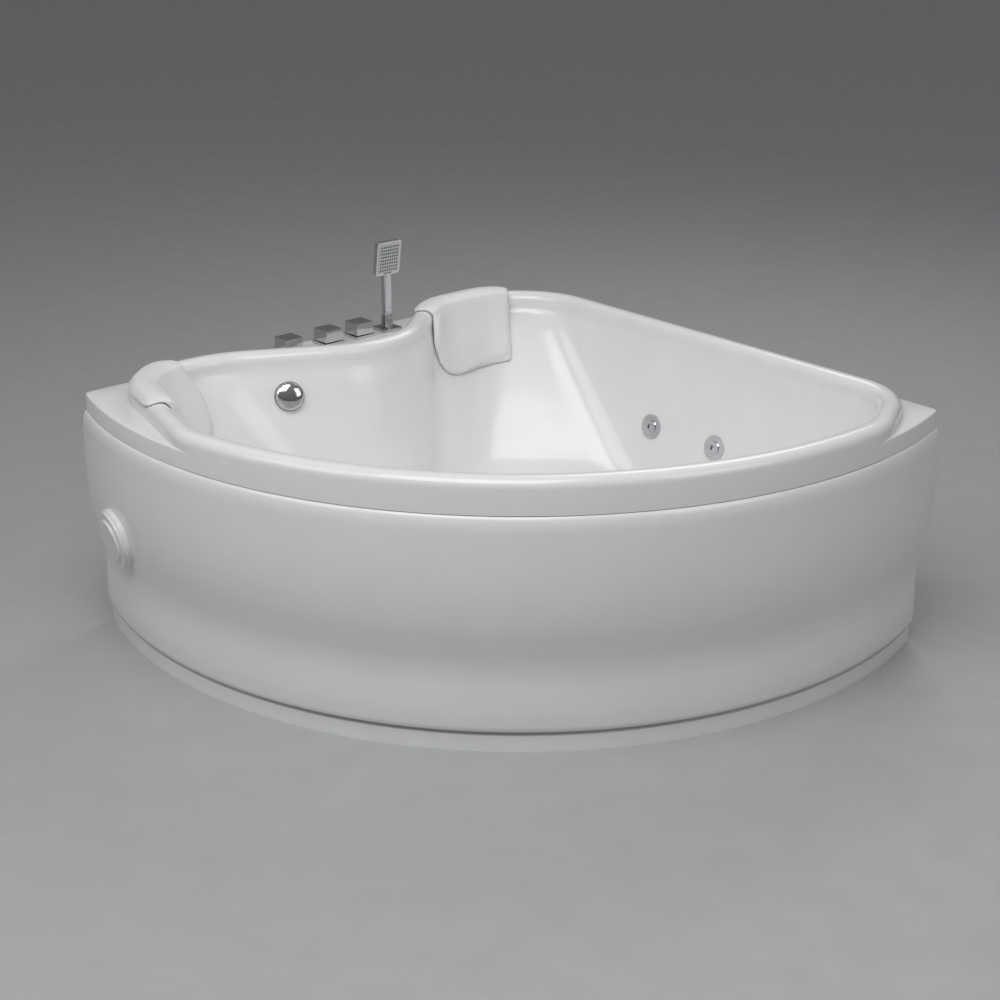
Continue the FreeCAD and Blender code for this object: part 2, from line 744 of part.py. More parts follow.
JETS = jet_seats()
OVERFLOW = wall_seat(OVERFLOW_SIDE_INDEX, OVERFLOW_SHARE, OVERFLOW_Z)
SUCTION = wall_seat(LEFT_SIDE_INDEX, SUCTION_SHARE, SUCTION_Z)
DRAIN = out(DRAIN_X, DRAIN_OUT, FLOOR_Z)
DECK_HOLES = [plan(FITTING_OFF, along, DECK_Z)
              for along in (SHOWER_ALONG, COLD_ALONG, HOT_ALONG, DIVERTER_ALONG)]
BUTTON = plan(BUTTON_OFF, BUTTON_ALONG, DECK_Z)


def tub_shell():
    """Moulded shell: deck flange with a turned-down skirt, rolled rim and basin."""
    flange = flange_face()
    inner = area(outline(BASIN_TOP))
    outer = rim_outer_face()
    deck = prism(flange, SKIRT_Z, DECK_Z)
    deck = deck.makeChamfer(DECK_EDGE, level(deck, DECK_Z))
    ring = rim_ring(outer, inner, SKIRT_Z, RIM_Z, RIM_EDGE)
    cup = bowl()
    pads = []
    for point, normal, along in JETS:
        pads.append(rod(JET_PAD_R, point - normal * JET_PAD, point))
    point, normal, along = OVERFLOW
    pads.append(rod(OVERFLOW_RING_R, point - normal * OVERFLOW_PAD, point))
    point, normal, along = SUCTION
    pads.append(rod(SUCTION_COVER_R, point - normal * JET_PAD, point))
    body = deck.fuse([ring, cup] + pads)
    hollow = prism(flange.makeOffset2D(-SHELL), SKIRT_Z - OVERRUN, DECK_Z - SHELL)
    under = prism(plain(outer.makeOffset2D(-RIM_HOLLOW)), SKIRT_Z - OVERRUN, RIM_Z - RIM_HOLLOW)
    core = prism(polygon(flats(outline(BASIN_TOP, 0, RIM_HOLLOW), 0)), DECK_Z - SHELL, RIM_Z)
    hollow = hollow.fuse(under).cut([cup, core] + pads)
    body = body.cut([hollow, basin(), prism(inner, BASIN_TOP, RIM_Z + OVERRUN)])
    cuts = []
    for point, normal, along in JETS:
        cuts.append(rod(JET_HOLE_R, point - normal * OVERRUN, point + normal * JET_RING))
        cuts.append(rod(JET_RING_R + CLEARANCE, point - normal * JET_SEAT, point + normal * JET_RING))
    point, normal, along = OVERFLOW
    cuts.append(rod(OVERFLOW_HOLE_R, point - normal * OVERRUN, point + normal * JET_RING))
    cuts.append(rod(OVERFLOW_RING_R + CLEARANCE, point - normal * OVERFLOW_SEAT, point + normal * OVERRUN))
    point, normal, along = SUCTION
    cuts.append(rod(SUCTION_HOLE_R, point - normal * OVERRUN, point + normal * JET_RING))
    cuts.append(rod(SUCTION_COVER_R + CLEARANCE, point - normal * JET_SEAT, point + normal * OVERRUN))
    cuts.append(rod(DRAIN_HOLE_R, DRAIN - UP * OVERRUN, DRAIN + UP * SHELL))
    for place in DECK_HOLES:
        cuts.append(rod(SHANK_R + CLEARANCE, place - UP * OVERRUN, place + UP * SHELL))
    cuts.append(rod(SHANK_R + CLEARANCE, BUTTON - UP * OVERRUN, BUTTON + UP * SHELL))
    return body.cut(cuts)


nodes["tub_shell"] = tub_shell()


# Front apron, plinth and service hatch
APRON_Z = PLINTH_HEIGHT + PLINTH_TONGUE
LIP_Z = SKIRT_Z - APRON_GAP
TONGUE_R = PLINTH_R - PLINTH_RECESS


def apron_line(inset):
    """The two arcs of the apron's profile above its upright foot, drawn in by an inset."""
    swing = (APRON_TURN ** 2 + APRON_TURN_RISE ** 2) / (2 * APRON_TURN)
    half = math.asin(APRON_TURN_RISE / swing) / 2
    knee = Vector(APRON_FOOT_R - inset, 0, APRON_FOOT_TOP)
    bend = knee + Vector(swing * (1 - math.cos(half)), 0, swing * math.sin(half))
    turn = knee + Vector(APRON_TURN, 0, APRON_TURN_RISE)
    bulge = Vector(APRON_BULGE_R - inset, 0, APRON_BULGE_Z)
    top = Vector(APRON_TOP_R - inset, 0, LIP_Z)
    return arc(knee, bend, turn), arc(turn, bulge, top)


def banded(arcs, bands):
    """Points that break arcs into straight bands."""
    points = []
    for edge, count in zip(arcs, bands):
        points += edge.discretize(count + 1)[len(points) > 0:]
    return points


def swept(face):
    """Solid swept about the front arc's axis from wall to wall."""
    turned_face = face.copy()
    turned_face.rotate(Vector(), UP, -90 - APRON_SPAN_ANGLE / 2)
    solid = turned_face.revolve(Vector(), UP, APRON_SPAN_ANGLE)
    solid.translate(AXIS)
    far = 2 * WALL_LENGTH
    gap = APRON_WALL_GAP
    between = polygon([plan(gap, gap), plan(gap, far), plan(far, gap)])
    return solid.common(prism(between, 0, DECK_Z))


HATCH_ARC = apron_line(0)[1].Curve
HATCH_REACH = math.sqrt(HATCH_ARC.Radius ** 2 - (HATCH_Z - HATCH_ARC.Center.z) ** 2)
HATCH_AT = polar(HATCH_ARC.Center.x + HATCH_REACH, -HATCH_TURN_ANGLE, HATCH_Z)
HATCH_OUT = polar(HATCH_REACH, -HATCH_TURN_ANGLE, HATCH_Z) - polar(0, -HATCH_TURN_ANGLE, HATCH_ARC.Center.z)
HATCH_OUT = HATCH_OUT.normalize()


def hatch_place(distance):
    return HATCH_AT + HATCH_OUT * distance


def clip_places():
    """Foot of each apron clip on the lip, and its way outwards."""
    reach = math.sqrt((FLANGE_R - SHELL) ** 2 - (CLIP_WIDTH / 2) ** 2) - CLEARANCE
    return [(polar(reach, turn, LIP_Z), polar(1, turn) - polar(0, turn)) for turn in CLIP_ANGLES]


def front_apron():
    """Bowed panel with a lip turned in at the top and a foot that stands on the plinth."""
    face = banded(apron_line(0), APRON_BAND_COUNTS)
    back = banded(apron_line(APRON_WALL), APRON_BACK_BAND_COUNTS)
    top = face[-1]
    heel = TONGUE_R - PLINTH_TONGUE
    half = APRON_LIP_ROUND / 3
    profile = [Vector(APRON_FOOT_R, 0, APRON_Z)] + face[:-1]
    profile += [top - UP * APRON_LIP_ROUND, top - Vector(half, 0, half), top - Vector(APRON_LIP_ROUND, 0, 0)]
    profile += [top - Vector(APRON_LIP, 0, 0), top - Vector(APRON_LIP, 0, APRON_WALL)]
    profile += [back[-1] - UP * APRON_WALL] + back[-2::-1]
    profile += [Vector(APRON_FOOT_R - APRON_WALL, 0, APRON_Z + APRON_WALL)]
    profile += [Vector(heel, 0, APRON_Z + APRON_WALL), Vector(heel, 0, APRON_Z)]
    return swept(polygon(profile)).cut(rod(HATCH_R + CLEARANCE, hatch_place(-OVERRUN), hatch_place(OVERRUN)))


def plinth():
    """Kick strip with a tongue set back at the top, which carries the apron."""
    profile = [(TONGUE_R - PLINTH_TONGUE, 0), (PLINTH_R, 0), (PLINTH_R, PLINTH_HEIGHT)]
    profile += [(TONGUE_R, PLINTH_HEIGHT), (TONGUE_R, APRON_Z), (TONGUE_R - PLINTH_TONGUE, APRON_Z)]
    return swept(polygon([Vector(radius, 0, z) for radius, z in profile]))


def hatch_collar():
    """Ring that stands through the bowed panel."""
    edge = HATCH_COLLAR - HATCH_EDGE
    profile = [(HATCH_BORE_R, -HATCH_NECK), (HATCH_R, -HATCH_NECK), (HATCH_R, edge)]
    profile += [(HATCH_R - HATCH_EDGE, HATCH_COLLAR), (HATCH_BORE_R, HATCH_COLLAR)]
    return stand(turned(profile), HATCH_AT, HATCH_OUT)


def hatch_cover():
    """Stepped cover with a plug that slides in the collar."""
    half = HATCH_COVER / 2
    plug = HATCH_BORE_R - RUNNING
    step = plug - HATCH_GROOVE
    profile = [(0, -HATCH_PLUG), (plug, -HATCH_PLUG), (plug, 0), (HATCH_COVER_R, 0), (HATCH_COVER_R, half)]
    profile += [(step, half), (step - HATCH_EDGE, HATCH_COVER), (0, HATCH_COVER)]
    return stand(turned(profile), hatch_place(HATCH_COLLAR), HATCH_OUT)


def apron_clips():
    """Angles bonded inside the skirt that grip the inner edge of the apron's lip."""
    clips = []
    edge = APRON_TOP_R - APRON_LIP - CLEARANCE
    under = LIP_Z - APRON_WALL - CLEARANCE
    for place, outward in clip_places():
        reach = (Vector(place.x, place.y, 0) - AXIS).Length
        profile = [(reach, LIP_Z), (reach, LIP_Z + CLIP_HEIGHT), (reach - CLIP_WALL, LIP_Z + CLIP_HEIGHT)]
        profile += [(reach - CLIP_WALL, LIP_Z + CLIP_WALL), (edge - CLIP_WALL, LIP_Z + CLIP_WALL)]
        profile += [(edge - CLIP_WALL, under - CLIP_WALL), (edge + CLIP_GRIP, under - CLIP_WALL)]
        profile += [(edge + CLIP_GRIP, under), (edge, under), (edge, LIP_Z)]
        side = Vector(-outward.y, outward.x, 0) * (CLIP_WIDTH / 2)
        ring = [AXIS + outward * radius + UP * z - side for radius, z in profile]
        clips.append(polygon(ring).extrude(side * 2))
    return Part.makeCompound(clips)


nodes["front_apron"] = front_apron()
nodes["plinth"] = plinth()
nodes["hatch_collar"] = hatch_collar()
nodes["hatch_cover"] = hatch_cover()
nodes["apron_clips"] = apron_clips()


# Base: board, frame and feet
BACK_POST = plan(POST_OFF, POST_OFF, FRAME_Z)
TIP_LEFT = plan(POST_OFF, TIP_POST, FRAME_Z)
TIP_RIGHT = plan(TIP_POST, POST_OFF, FRAME_Z)
FRONT_LEFT = out(-FRONT_RAIL_HALF, FRONT_RAIL, FRAME_Z)
FRONT_RIGHT = out(FRONT_RAIL_HALF, FRONT_RAIL, FRAME_Z)
MID_HALF = MID_RAIL - POST_OFF * ROOT2
PUMP_Y = SUCTION[0].y


def rail(start, end, size):
    """Square bar between two points on its underside's centre line."""
    run = (end - start).normalize()
    side = Vector(-run.y, run.x, 0) * (size / 2)
    lift = UP * ((TUBE - size) / 2)
    face = polygon([start - side + lift, start + side + lift, start + side + lift + UP * size,
                    start - side + lift + UP * size])
    return face.extrude(end - start)


def post(place, size, bottom, top):
    """Square post that stands along the walls."""
    block = Part.makeBox(size, size, top - bottom, Vector(-size / 2, -size / 2, 0))
    return stand(block, Vector(place.x, place.y, bottom), UP, ALONG_LEFT)


def side_rail_x(y):
    """Place across on the left side rail at a depth."""
    share = (y - TIP_LEFT.y) / (FRONT_LEFT.y - TIP_LEFT.y)
    return lerp(TIP_LEFT.x, FRONT_LEFT.x, share)


def rails():
    """Ends of every rail of the frame."""
    runs = [(BACK_POST, TIP_LEFT), (BACK_POST, TIP_RIGHT), (TIP_LEFT, FRONT_LEFT), (TIP_RIGHT, FRONT_RIGHT)]
    runs += [(FRONT_LEFT, FRONT_RIGHT), (out(-MID_HALF, MID_RAIL, FRAME_Z), out(MID_HALF, MID_RAIL, FRAME_Z))]
    for x in (-CROSS_RAIL, CROSS_RAIL):
        runs.append((out(x, MID_RAIL, FRAME_Z), out(x, FRONT_RAIL, FRAME_Z)))
    for y in (PUMP_Y - PUMP_RAIL_SPREAD / 2, PUMP_Y + PUMP_RAIL_SPREAD / 2):
        runs.append((Vector(-CROSS_RAIL, y, FRAME_Z), Vector(side_rail_x(y), y, FRAME_Z)))
    return runs


def foot_places():
    """Places of the feet under the frame."""
    middle = [out(0, MID_RAIL, FRAME_Z), out(0, FRONT_RAIL, FRAME_Z)]
    return [BACK_POST, TIP_LEFT, TIP_RIGHT, FRONT_LEFT, FRONT_RIGHT] + middle


def steel_frame():
    """Welded square tube: rails under the board and posts up to the deck."""
    posts = [BACK_POST, TIP_LEFT, TIP_RIGHT, plan(POST_OFF, LEFT_MID_POST), plan(RIGHT_MID_POST, POST_OFF)]
    bore = TUBE - 2 * TUBE_WALL
    whole = [rail(start, end, TUBE) for start, end in rails()]
    whole += [post(place, TUBE, FRAME_Z, DECK_Z - SHELL) for place in posts]
    corner = [post(place, TUBE, FRAME_Z, BOARD_Z) for place in (FRONT_LEFT, FRONT_RIGHT)]
    inside = [rail(start, end, bore) for start, end in rails()]
    inside += [post(place, bore, FRAME_Z + TUBE_WALL, DECK_Z) for place in posts]
    frame = whole[0].fuse(whole[1:] + corner).removeSplitter()
    return frame.cut(inside)


def base_board():
    """Board under the flat of the floor, open round the waste."""
    flat = prism(polygon(flats(outline(FLOOR_Z, 1), 0)), BOARD_Z, BOARD_Z + BOARD)
    return flat.cut(rod(WASTE_R + BOARD_GAP, DRAIN - UP * OVERRUN, DRAIN))


def foot_parts():
    """Pads and studs of the feet, one group of each; each stud has its nut below the rail."""
    pads = []
    studs = []
    for place in foot_places():
        floor = Vector(place.x, place.y, 0)
        pads.append(rod(FOOT_R, floor, floor + UP * FOOT_HEIGHT))
        stud = hexagon(STUD_R, FRAME_Z - FOOT_HEIGHT)
        stud.translate(floor + UP * FOOT_HEIGHT)
        nut = hexagon(NUT_HALF, NUT_HEIGHT)
        nut.translate(place - UP * NUT_HEIGHT)
        studs.append(stud.fuse(nut))
    return [Part.makeCompound(group) for group in (pads, studs)]


nodes["base_board"] = base_board()
nodes["steel_frame"] = steel_frame()
nodes["foot_pads"], nodes["foot_studs"] = foot_parts()

# Water jets and their pipe
PIPE_BORE_R = PIPE_R - PIPE_WALL
JET_FACE = JET_RING - JET_SEAT
NOZZLE_FLOOR = JET_FACE - JET_NOZZLE_SINK
NOZZLE_TOP = JET_FACE + JET_NOZZLE_RISE


def jet_ring():
    """Flanged ring with a barrel through the wall and a pocket for the nozzle."""
    pocket = JET_NOZZLE_R + RUNNING
    barrel = JET_HOLE_R - CLEARANCE
    profile = [(JET_BORE_R, -JET_BARREL), (barrel, -JET_BARREL), (barrel, -JET_SEAT), (JET_RING_R, -JET_SEAT)]
    profile += [(JET_RING_R, JET_FACE), (pocket, JET_FACE)]
    return turned(profile + [(pocket, NOZZLE_FLOOR), (JET_BORE_R, NOZZLE_FLOOR)])


def jet_nozzle():
    """Turning insert with a square slanting orifice."""
    side = 2 * JET_ORIFICE_R
    slot = Part.makeBox(side, side, OVERRUN, Vector(-JET_ORIFICE_R, -JET_ORIFICE_R, -OVERRUN / 2))
    slant = Vector(JET_ORIFICE_R, 0, JET_NOZZLE_R).normalize()
    insert = rod(JET_NOZZLE_R, UP * NOZZLE_FLOOR, UP * NOZZLE_TOP)
    return insert.cut(stand(slot, UP * (NOZZLE_TOP + NOZZLE_FLOOR) / 2, slant, Vector(0, 1, 0)))


def jet_body():
    """Square chamber behind the wall; the pipes end against its sides."""
    back = -JET_PAD - JET_BODY
    box = Part.makeBox(2 * JET_BODY_R, 2 * JET_BODY_R, JET_BODY, Vector(-JET_BODY_R, -JET_BODY_R, back))
    corner = Vector(-JET_HOLE_R, -JET_HOLE_R, back + SHELL)
    room = Part.makeBox(2 * JET_HOLE_R, 2 * JET_HOLE_R, JET_BODY, corner)
    return box.cut(room)


def jet_port(index, way):
    """Seat of the pipe on a jet's chamber, before or after the jet."""
    point, normal, along = JETS[index]
    return point - normal * JET_PORT_DEPTH + along * JET_BODY_R * way


# Suction, pump and pipe places
SUCTION_BORE_R = SUCTION_PIPE_R - PIPE_WALL
SUCTION_ELBOW = SUCTION[0] - SUCTION[1] * ((SUCTION_Z - PUMP_Z) / SUCTION[1].z)
SUCTION_STOP = JET_PAD + SUCTION_BODY
PUMP_AT = Vector(-PUMP_FACE, PUMP_Y, PUMP_Z)
PUMP_AXIS = Vector(-1, 0, 0)
OUTLET_SIDE = PUMP_VOLUTE_R - PIPE_R - PUMP_WALL
OUTLET_TOP = PUMP_VOLUTE_R + PIPE_R
RISER = PUMP_AT + PUMP_AXIS * (PUMP_VOLUTE / 2) - Vector(0, OUTLET_SIDE, 0)


def tangent_corner(turn, port):
    """Corner of the pipe outside the front arc, where the tangents on both sides of a turn meet."""
    radius = (Vector(port.x, port.y, 0) - AXIS).Length
    return polar(radius / math.cos(math.radians(FRONT_JET_ANGLE)), turn, port.z)


def pump_pipes():
    """Runs from the pump round the front and along the right wall, from jet to jet, and the suction pipe."""
    entry = jet_port(0, -1)
    height = entry.z
    hub = jet_port(0, 0)
    line_out = jet_port(2, 0) - JETS[2][2] * LINE_OUT
    first = [RISER + UP * OUTLET_TOP, Vector(RISER.x, RISER.y, height)]
    first += [tangent_corner(-2 * FRONT_JET_ANGLE, hub), entry]
    middle = [jet_port(0, 1), tangent_corner(0, hub), jet_port(1, -1)]
    last = [jet_port(1, 1), tangent_corner(2 * FRONT_JET_ANGLE, hub)]
    last += [tangent_corner(4 * FRONT_JET_ANGLE, hub), line_out, jet_port(2, -1)]
    runs = [pipe(points, PIPE_R, PIPE_WALL) for points in (first, middle, last)]
    for index in (2, 3):
        runs.append(tube(PIPE_R, PIPE_BORE_R, jet_port(index, 1), jet_port(index + 1, -1)))
    intake = [SUCTION[0] - SUCTION[1] * SUCTION_STOP, SUCTION_ELBOW, PUMP_AT - PUMP_AXIS * PUMP_INLET]
    runs.append(pipe(intake, SUCTION_PIPE_R, PIPE_WALL))
    return Part.makeCompound(runs)


def suction_cover():
    """Slotted dished cover over the water intake."""
    top = SUCTION_COVER - JET_SEAT
    wall = SUCTION_WALL
    rim = SUCTION_COVER_R
    profile = [(0, top - wall), (rim - 2 * wall, top - wall), (rim - 2 * wall, -JET_SEAT), (rim, -JET_SEAT)]
    cover = turned(profile + [(rim, top - wall), (rim - wall, top), (0, top)])
    slots = []
    for step in range(SUCTION_SLOT_COUNT):
        slot = Part.makeBox(SUCTION_SLOT, SUCTION_HOLE_R - SUCTION_SLOT, OVERRUN)
        slot.translate(Vector(-SUCTION_SLOT / 2, SUCTION_HOLE_R / 2, 0))
        slot.rotate(Vector(), UP, 360 * step / SUCTION_SLOT_COUNT)
        slots.append(slot)
    return stand(cover.cut(slots), *SUCTION)


def suction_body():
    """Flanged neck behind the wall with a stub for the pipe."""
    neck = SUCTION_HOLE_R - CLEARANCE
    flange = -JET_PAD - SUCTION_WALL
    profile = [(SUCTION_BORE_R, -JET_SEAT), (neck, -JET_SEAT), (neck, -JET_PAD), (SUCTION_FLANGE_R, -JET_PAD)]
    profile += [(SUCTION_FLANGE_R, flange), (SUCTION_PIPE_R, flange), (SUCTION_PIPE_R, -SUCTION_STOP)]
    return stand(turned(profile + [(SUCTION_BORE_R, -SUCTION_STOP)]), *SUCTION)


def in_pump(shape):
    """Pump pieces are modelled with the shaft along +Z and +X upwards."""
    return stand(shape, PUMP_AT, PUMP_AXIS, UP)


def pump_volute():
    """Closed pump housing with the inlet on its axis and the outlet at its side."""
    mid = UP * (PUMP_VOLUTE / 2) - Vector(0, OUTLET_SIDE, 0)
    case = Part.makeCylinder(PUMP_VOLUTE_R, PUMP_VOLUTE)
    inlet = rod(SUCTION_PIPE_R, UP * -PUMP_INLET, UP * PUMP_WALL)
    return in_pump(case.fuse([inlet, rod(PIPE_R, mid, mid + Vector(OUTLET_TOP, 0, 0))]))


MOTOR_END = PUMP_VOLUTE + PUMP_MOTOR
MOTOR_CAP = MOTOR_END - 2 * PUMP_WALL


def pump_motor():
    """Closed motor case with cooling fins behind a front plate."""
    plate = PUMP_VOLUTE + PUMP_PLATE
    case = rod(PUMP_VOLUTE_R, UP * PUMP_VOLUTE, UP * plate)
    fins = []
    for step in range(PUMP_FIN_COUNT):
        fin = Part.makeBox(PUMP_FIN, PUMP_FIN * 2, MOTOR_CAP - plate)
        fin.translate(Vector(-PUMP_FIN / 2, PUMP_MOTOR_R - PUMP_FIN, plate))
        fin.rotate(Vector(), UP, 360 * step / PUMP_FIN_COUNT)
        fins.append(fin)
    return in_pump(case.fuse([rod(PUMP_MOTOR_R, UP * PUMP_VOLUTE, UP * MOTOR_END)] + fins))


def pump_base():
    """Plate across the pump rails with two saddles under the motor."""
    near = PUMP_AT.x - PUMP_VOLUTE - PUMP_PLATE
    far = PUMP_AT.x - MOTOR_CAP
    low = Vector(far, PUMP_Y - PUMP_BASE_WIDTH / 2, BOARD_Z)
    base = Part.makeBox(near - far, PUMP_BASE_WIDTH, PUMP_BASE, low)
    saddles = []
    for x in (far + PUMP_LEG, near - 2 * PUMP_LEG):
        saddle = Vector(x, PUMP_Y - PUMP_MOTOR_R, BOARD_Z)
        saddles.append(Part.makeBox(PUMP_LEG, 2 * PUMP_MOTOR_R, PUMP_Z - PUMP_HUB_R * 2 - BOARD_Z, saddle))
    motor = PUMP_MOTOR_R + PUMP_FIN + CLEARANCE
    return base.fuse(saddles).cut(rod(motor, PUMP_AT, PUMP_AT + PUMP_AXIS * MOTOR_END))


rings = [stand(jet_ring(), *seat) for seat in JETS]
bodies = [stand(jet_body(), *seat) for seat in JETS]
nodes["wall_rings"] = Part.makeCompound(rings + [suction_cover()])
nodes["wall_bodies"] = Part.makeCompound(bodies + [suction_body()])
for count, seat in enumerate(JETS):
    nodes["jet_nozzle_" + str(count + 1)] = stand(jet_nozzle(), *seat)
nodes["pump_pipes"] = pump_pipes()
nodes["pump_volute"] = pump_volute()
nodes["pump_motor"] = pump_motor()
nodes["pump_base"] = pump_base()


# Waste and overflow
DRAIN_BORE_R = DRAIN_HOLE_R - CLEARANCE - DRAIN_WALL
DRAIN_UNDER = FLOOR_Z - SHELL
OVERFLOW_HUB = OVERFLOW[0] - OVERFLOW[1] * (OVERFLOW_PAD + OVERFLOW_BODY / 2)
OVERFLOW_FOOT = Vector(OVERFLOW_HUB.x, OVERFLOW_HUB.y, OVERFLOW_RUN_Z)
WASTE_AT = Vector(DRAIN.x, DRAIN.y, OVERFLOW_RUN_Z)
OVERFLOW_WAY = (OVERFLOW_FOOT - WASTE_AT).normalize()


def web(radius, bore, bottom, top):
    """Four spokes round a guide bore, inside a barrel."""
    hub = rod(bore + DRAIN_WALL, UP * bottom, UP * top)
    spokes = []
    for width, depth in ((2 * radius, DRAIN_WALL), (DRAIN_WALL, 2 * radius)):
        spokes.append(Part.makeBox(width, depth, top - bottom, Vector(-width / 2, -depth / 2, bottom)))
    whole = hub.fuse(spokes).common(rod(radius, UP * bottom, UP * top))
    return whole.cut(rod(bore, UP * bottom, UP * top))


def drain_flange():
    """Flanged barrel through the floor with a web that guides the plug."""
    barrel = DRAIN_HOLE_R - CLEARANCE
    profile = [(DRAIN_BORE_R, -DRAIN_BARREL), (barrel, -DRAIN_BARREL), (barrel, 0), (DRAIN_FLANGE_R, 0)]
    ring = turned(profile + [(DRAIN_FLANGE_R - DRAIN_FLANGE, DRAIN_FLANGE), (DRAIN_BORE_R, DRAIN_FLANGE)])
    guide = web(barrel - CLEARANCE, PLUG_STEM_R + RUNNING, -DRAIN_BARREL, DRAIN_WEB - DRAIN_BARREL)
    return stand(ring.fuse(guide), DRAIN, UP)


def drain_plug():
    """Domed plug on a stem."""
    top = DRAIN_FLANGE + PLUG_RISE
    rim = DRAIN_FLANGE + PLUG_RISE / 2
    profile = [(0, DRAIN_FLANGE - PLUG_STEM), (PLUG_STEM_R, DRAIN_FLANGE - PLUG_STEM)]
    profile += [(PLUG_STEM_R, DRAIN_FLANGE), (PLUG_R, DRAIN_FLANGE), (PLUG_R, rim)]
    return stand(turned(profile + [(PLUG_R / 2, top), (0, top)]), DRAIN, UP)


def waste_body():
    """Cup under the floor with stubs for the outlet and the overflow."""
    foot = Vector(DRAIN.x, DRAIN.y, WASTE_BOTTOM)
    outlet = Vector(DRAIN.x, DRAIN.y, OUTLET_Z)
    mouths = [(outlet, outlet + Vector(0, WASTE_PORT, 0), OUTLET_R, OUTLET_WALL)]
    mouths.append((WASTE_AT, WASTE_AT + OVERFLOW_WAY * WASTE_PORT, OVERFLOW_PIPE_R, PIPE_WALL))
    case = rod(WASTE_R, foot, Vector(DRAIN.x, DRAIN.y, DRAIN_UNDER))
    case = case.fuse([rod(size, start, end) for start, end, size, wall in mouths])
    room = rod(DRAIN_HOLE_R, foot + UP * SHELL, DRAIN)
    return case.cut([room] + [rod(size - wall, start, end) for start, end, size, wall in mouths])


def waste_pipes():
    """Outlet pipe with a stop bead, and the pipe from the overflow down and across to the waste."""
    start = Vector(DRAIN.x, DRAIN.y + WASTE_PORT, OUTLET_Z)
    stop = start + Vector(0, OUTLET_LENGTH - OUTLET_END, 0)
    outlet = rod(OUTLET_R, start, start + Vector(0, OUTLET_LENGTH, 0))
    outlet = outlet.fuse(rod(OUTLET_R + OUTLET_WALL, stop - Vector(0, OUTLET_BEAD, 0), stop))
    outlet = outlet.cut(rod(OUTLET_R - OUTLET_WALL, start, start + Vector(0, OUTLET_LENGTH, 0)))
    drop = [OVERFLOW_HUB - UP * OVERFLOW_DROP, OVERFLOW_FOOT, WASTE_AT + OVERFLOW_WAY * WASTE_PORT]
    return Part.makeCompound([outlet, pipe(drop, OVERFLOW_PIPE_R, PIPE_WALL)])


def overflow_ring():
    """Flanged ring in the wall with a web that guides the knob."""
    barrel = OVERFLOW_HOLE_R - CLEARANCE
    bore = barrel - DRAIN_WALL
    rim = OVERFLOW_RING_R
    face = OVERFLOW_RING - OVERFLOW_SEAT
    profile = [(bore, -OVERFLOW_BARREL), (barrel, -OVERFLOW_BARREL), (barrel, -OVERFLOW_SEAT)]
    profile += [(rim, -OVERFLOW_SEAT), (rim, face - JET_SEAT), (rim - JET_SEAT, face), (bore, face)]
    guide = web(barrel - CLEARANCE, KNOB_STEM_R + RUNNING, -OVERFLOW_BARREL, DRAIN_WEB - OVERFLOW_BARREL)
    return stand(turned(profile).fuse(guide), *OVERFLOW)


def overflow_knob():
    """Domed knob on a stem; water passes behind its edge."""
    low = OVERFLOW_RING - OVERFLOW_SEAT + KNOB_GAP
    rim = low + KNOB_RIM
    rise = KNOB_RISE - KNOB_RIM
    profile = [(0, -OVERFLOW_BARREL), (KNOB_STEM_R, -OVERFLOW_BARREL), (KNOB_STEM_R, low), (KNOB_R, low)]
    profile += [(KNOB_R * across, rim + rise * up) for across, up in KNOB_SHARES]
    return stand(turned(profile), *OVERFLOW)


def overflow_body():
    """Cup behind the wall with a stub downwards."""
    point, normal, along = OVERFLOW
    back = OVERFLOW_PAD + OVERFLOW_BODY
    drop = OVERFLOW_HUB - UP * OVERFLOW_DROP
    case = rod(OVERFLOW_BODY_R, point - normal * back, point - normal * OVERFLOW_PAD)
    case = case.fuse(rod(OVERFLOW_PIPE_R, OVERFLOW_HUB, drop))
    room = rod(OVERFLOW_HOLE_R, point - normal * (back - SHELL), point)
    return case.cut([room, rod(OVERFLOW_PIPE_R - PIPE_WALL, OVERFLOW_HUB, drop)])


nodes["waste_rings"] = Part.makeCompound([drain_flange(), overflow_ring()])
nodes["waste_bodies"] = Part.makeCompound([waste_body(), overflow_body()])
nodes["waste_pipes"] = waste_pipes()
nodes["drain_plug"] = drain_plug()
nodes["overflow_knob"] = overflow_knob()


# Deck fittings, each modelled with its foot on the deck and +Y towards the basin
SHOWER_AT, COLD_AT, HOT_AT, DIVERTER_AT = DECK_HOLES
VALVES = (COLD_AT, HOT_AT, DIVERTER_AT)
HANDLE_Z = PLATE + HANDLE_GAP
HOLDER_TOP = HOLDER_PLATE + HOLDER_HEIGHT
HANDSET_FLOOR = HOLDER_TOP - HANDSET_SINK
HEAD_Z = HOLDER_TOP + STICK_LENGTH


def on_deck(shape, place):
    return stand(shape, place, UP, ALONG_LEFT)


def valve_body():
    """Valve under the deck: threaded shank, body and inlet pin."""
    bottom = -SHANK_LENGTH - VALVE_BODY
    body = hexagon(VALVE_R, VALVE_BODY)
    body.translate(UP * bottom)
    seat = Vector(0, INLET_SIDE, bottom)
    inlet = rod(INLET_R, seat - UP * INLET_LENGTH, seat)
    body = body.fuse([rod(SHANK_R, UP * -SHANK_LENGTH, UP * 0), inlet])
    return body.cut(rod(STEM_R + RUNNING, UP * (PLATE - STEM_DEPTH), UP * 0))


def handle_plate():
    plate = slab(PLATE_SIDE, PLATE_SIDE, PLATE, PLATE_EDGE)
    return plate.cut(Part.makeCylinder(STEM_R + CLEARANCE, PLATE))


def handle():
    """Square handle on a stem."""
    block = slab(HANDLE_SIDE, HANDLE_SIDE, HANDLE_HEIGHT, HANDLE_EDGE)
    block = block.makeChamfer(HANDLE_EDGE / 2, level(block, HANDLE_HEIGHT))
    block.translate(UP * HANDLE_Z)
    return block.fuse(rod(STEM_R, UP * (HANDLE_Z - STEM_DEPTH), UP * HANDLE_Z))


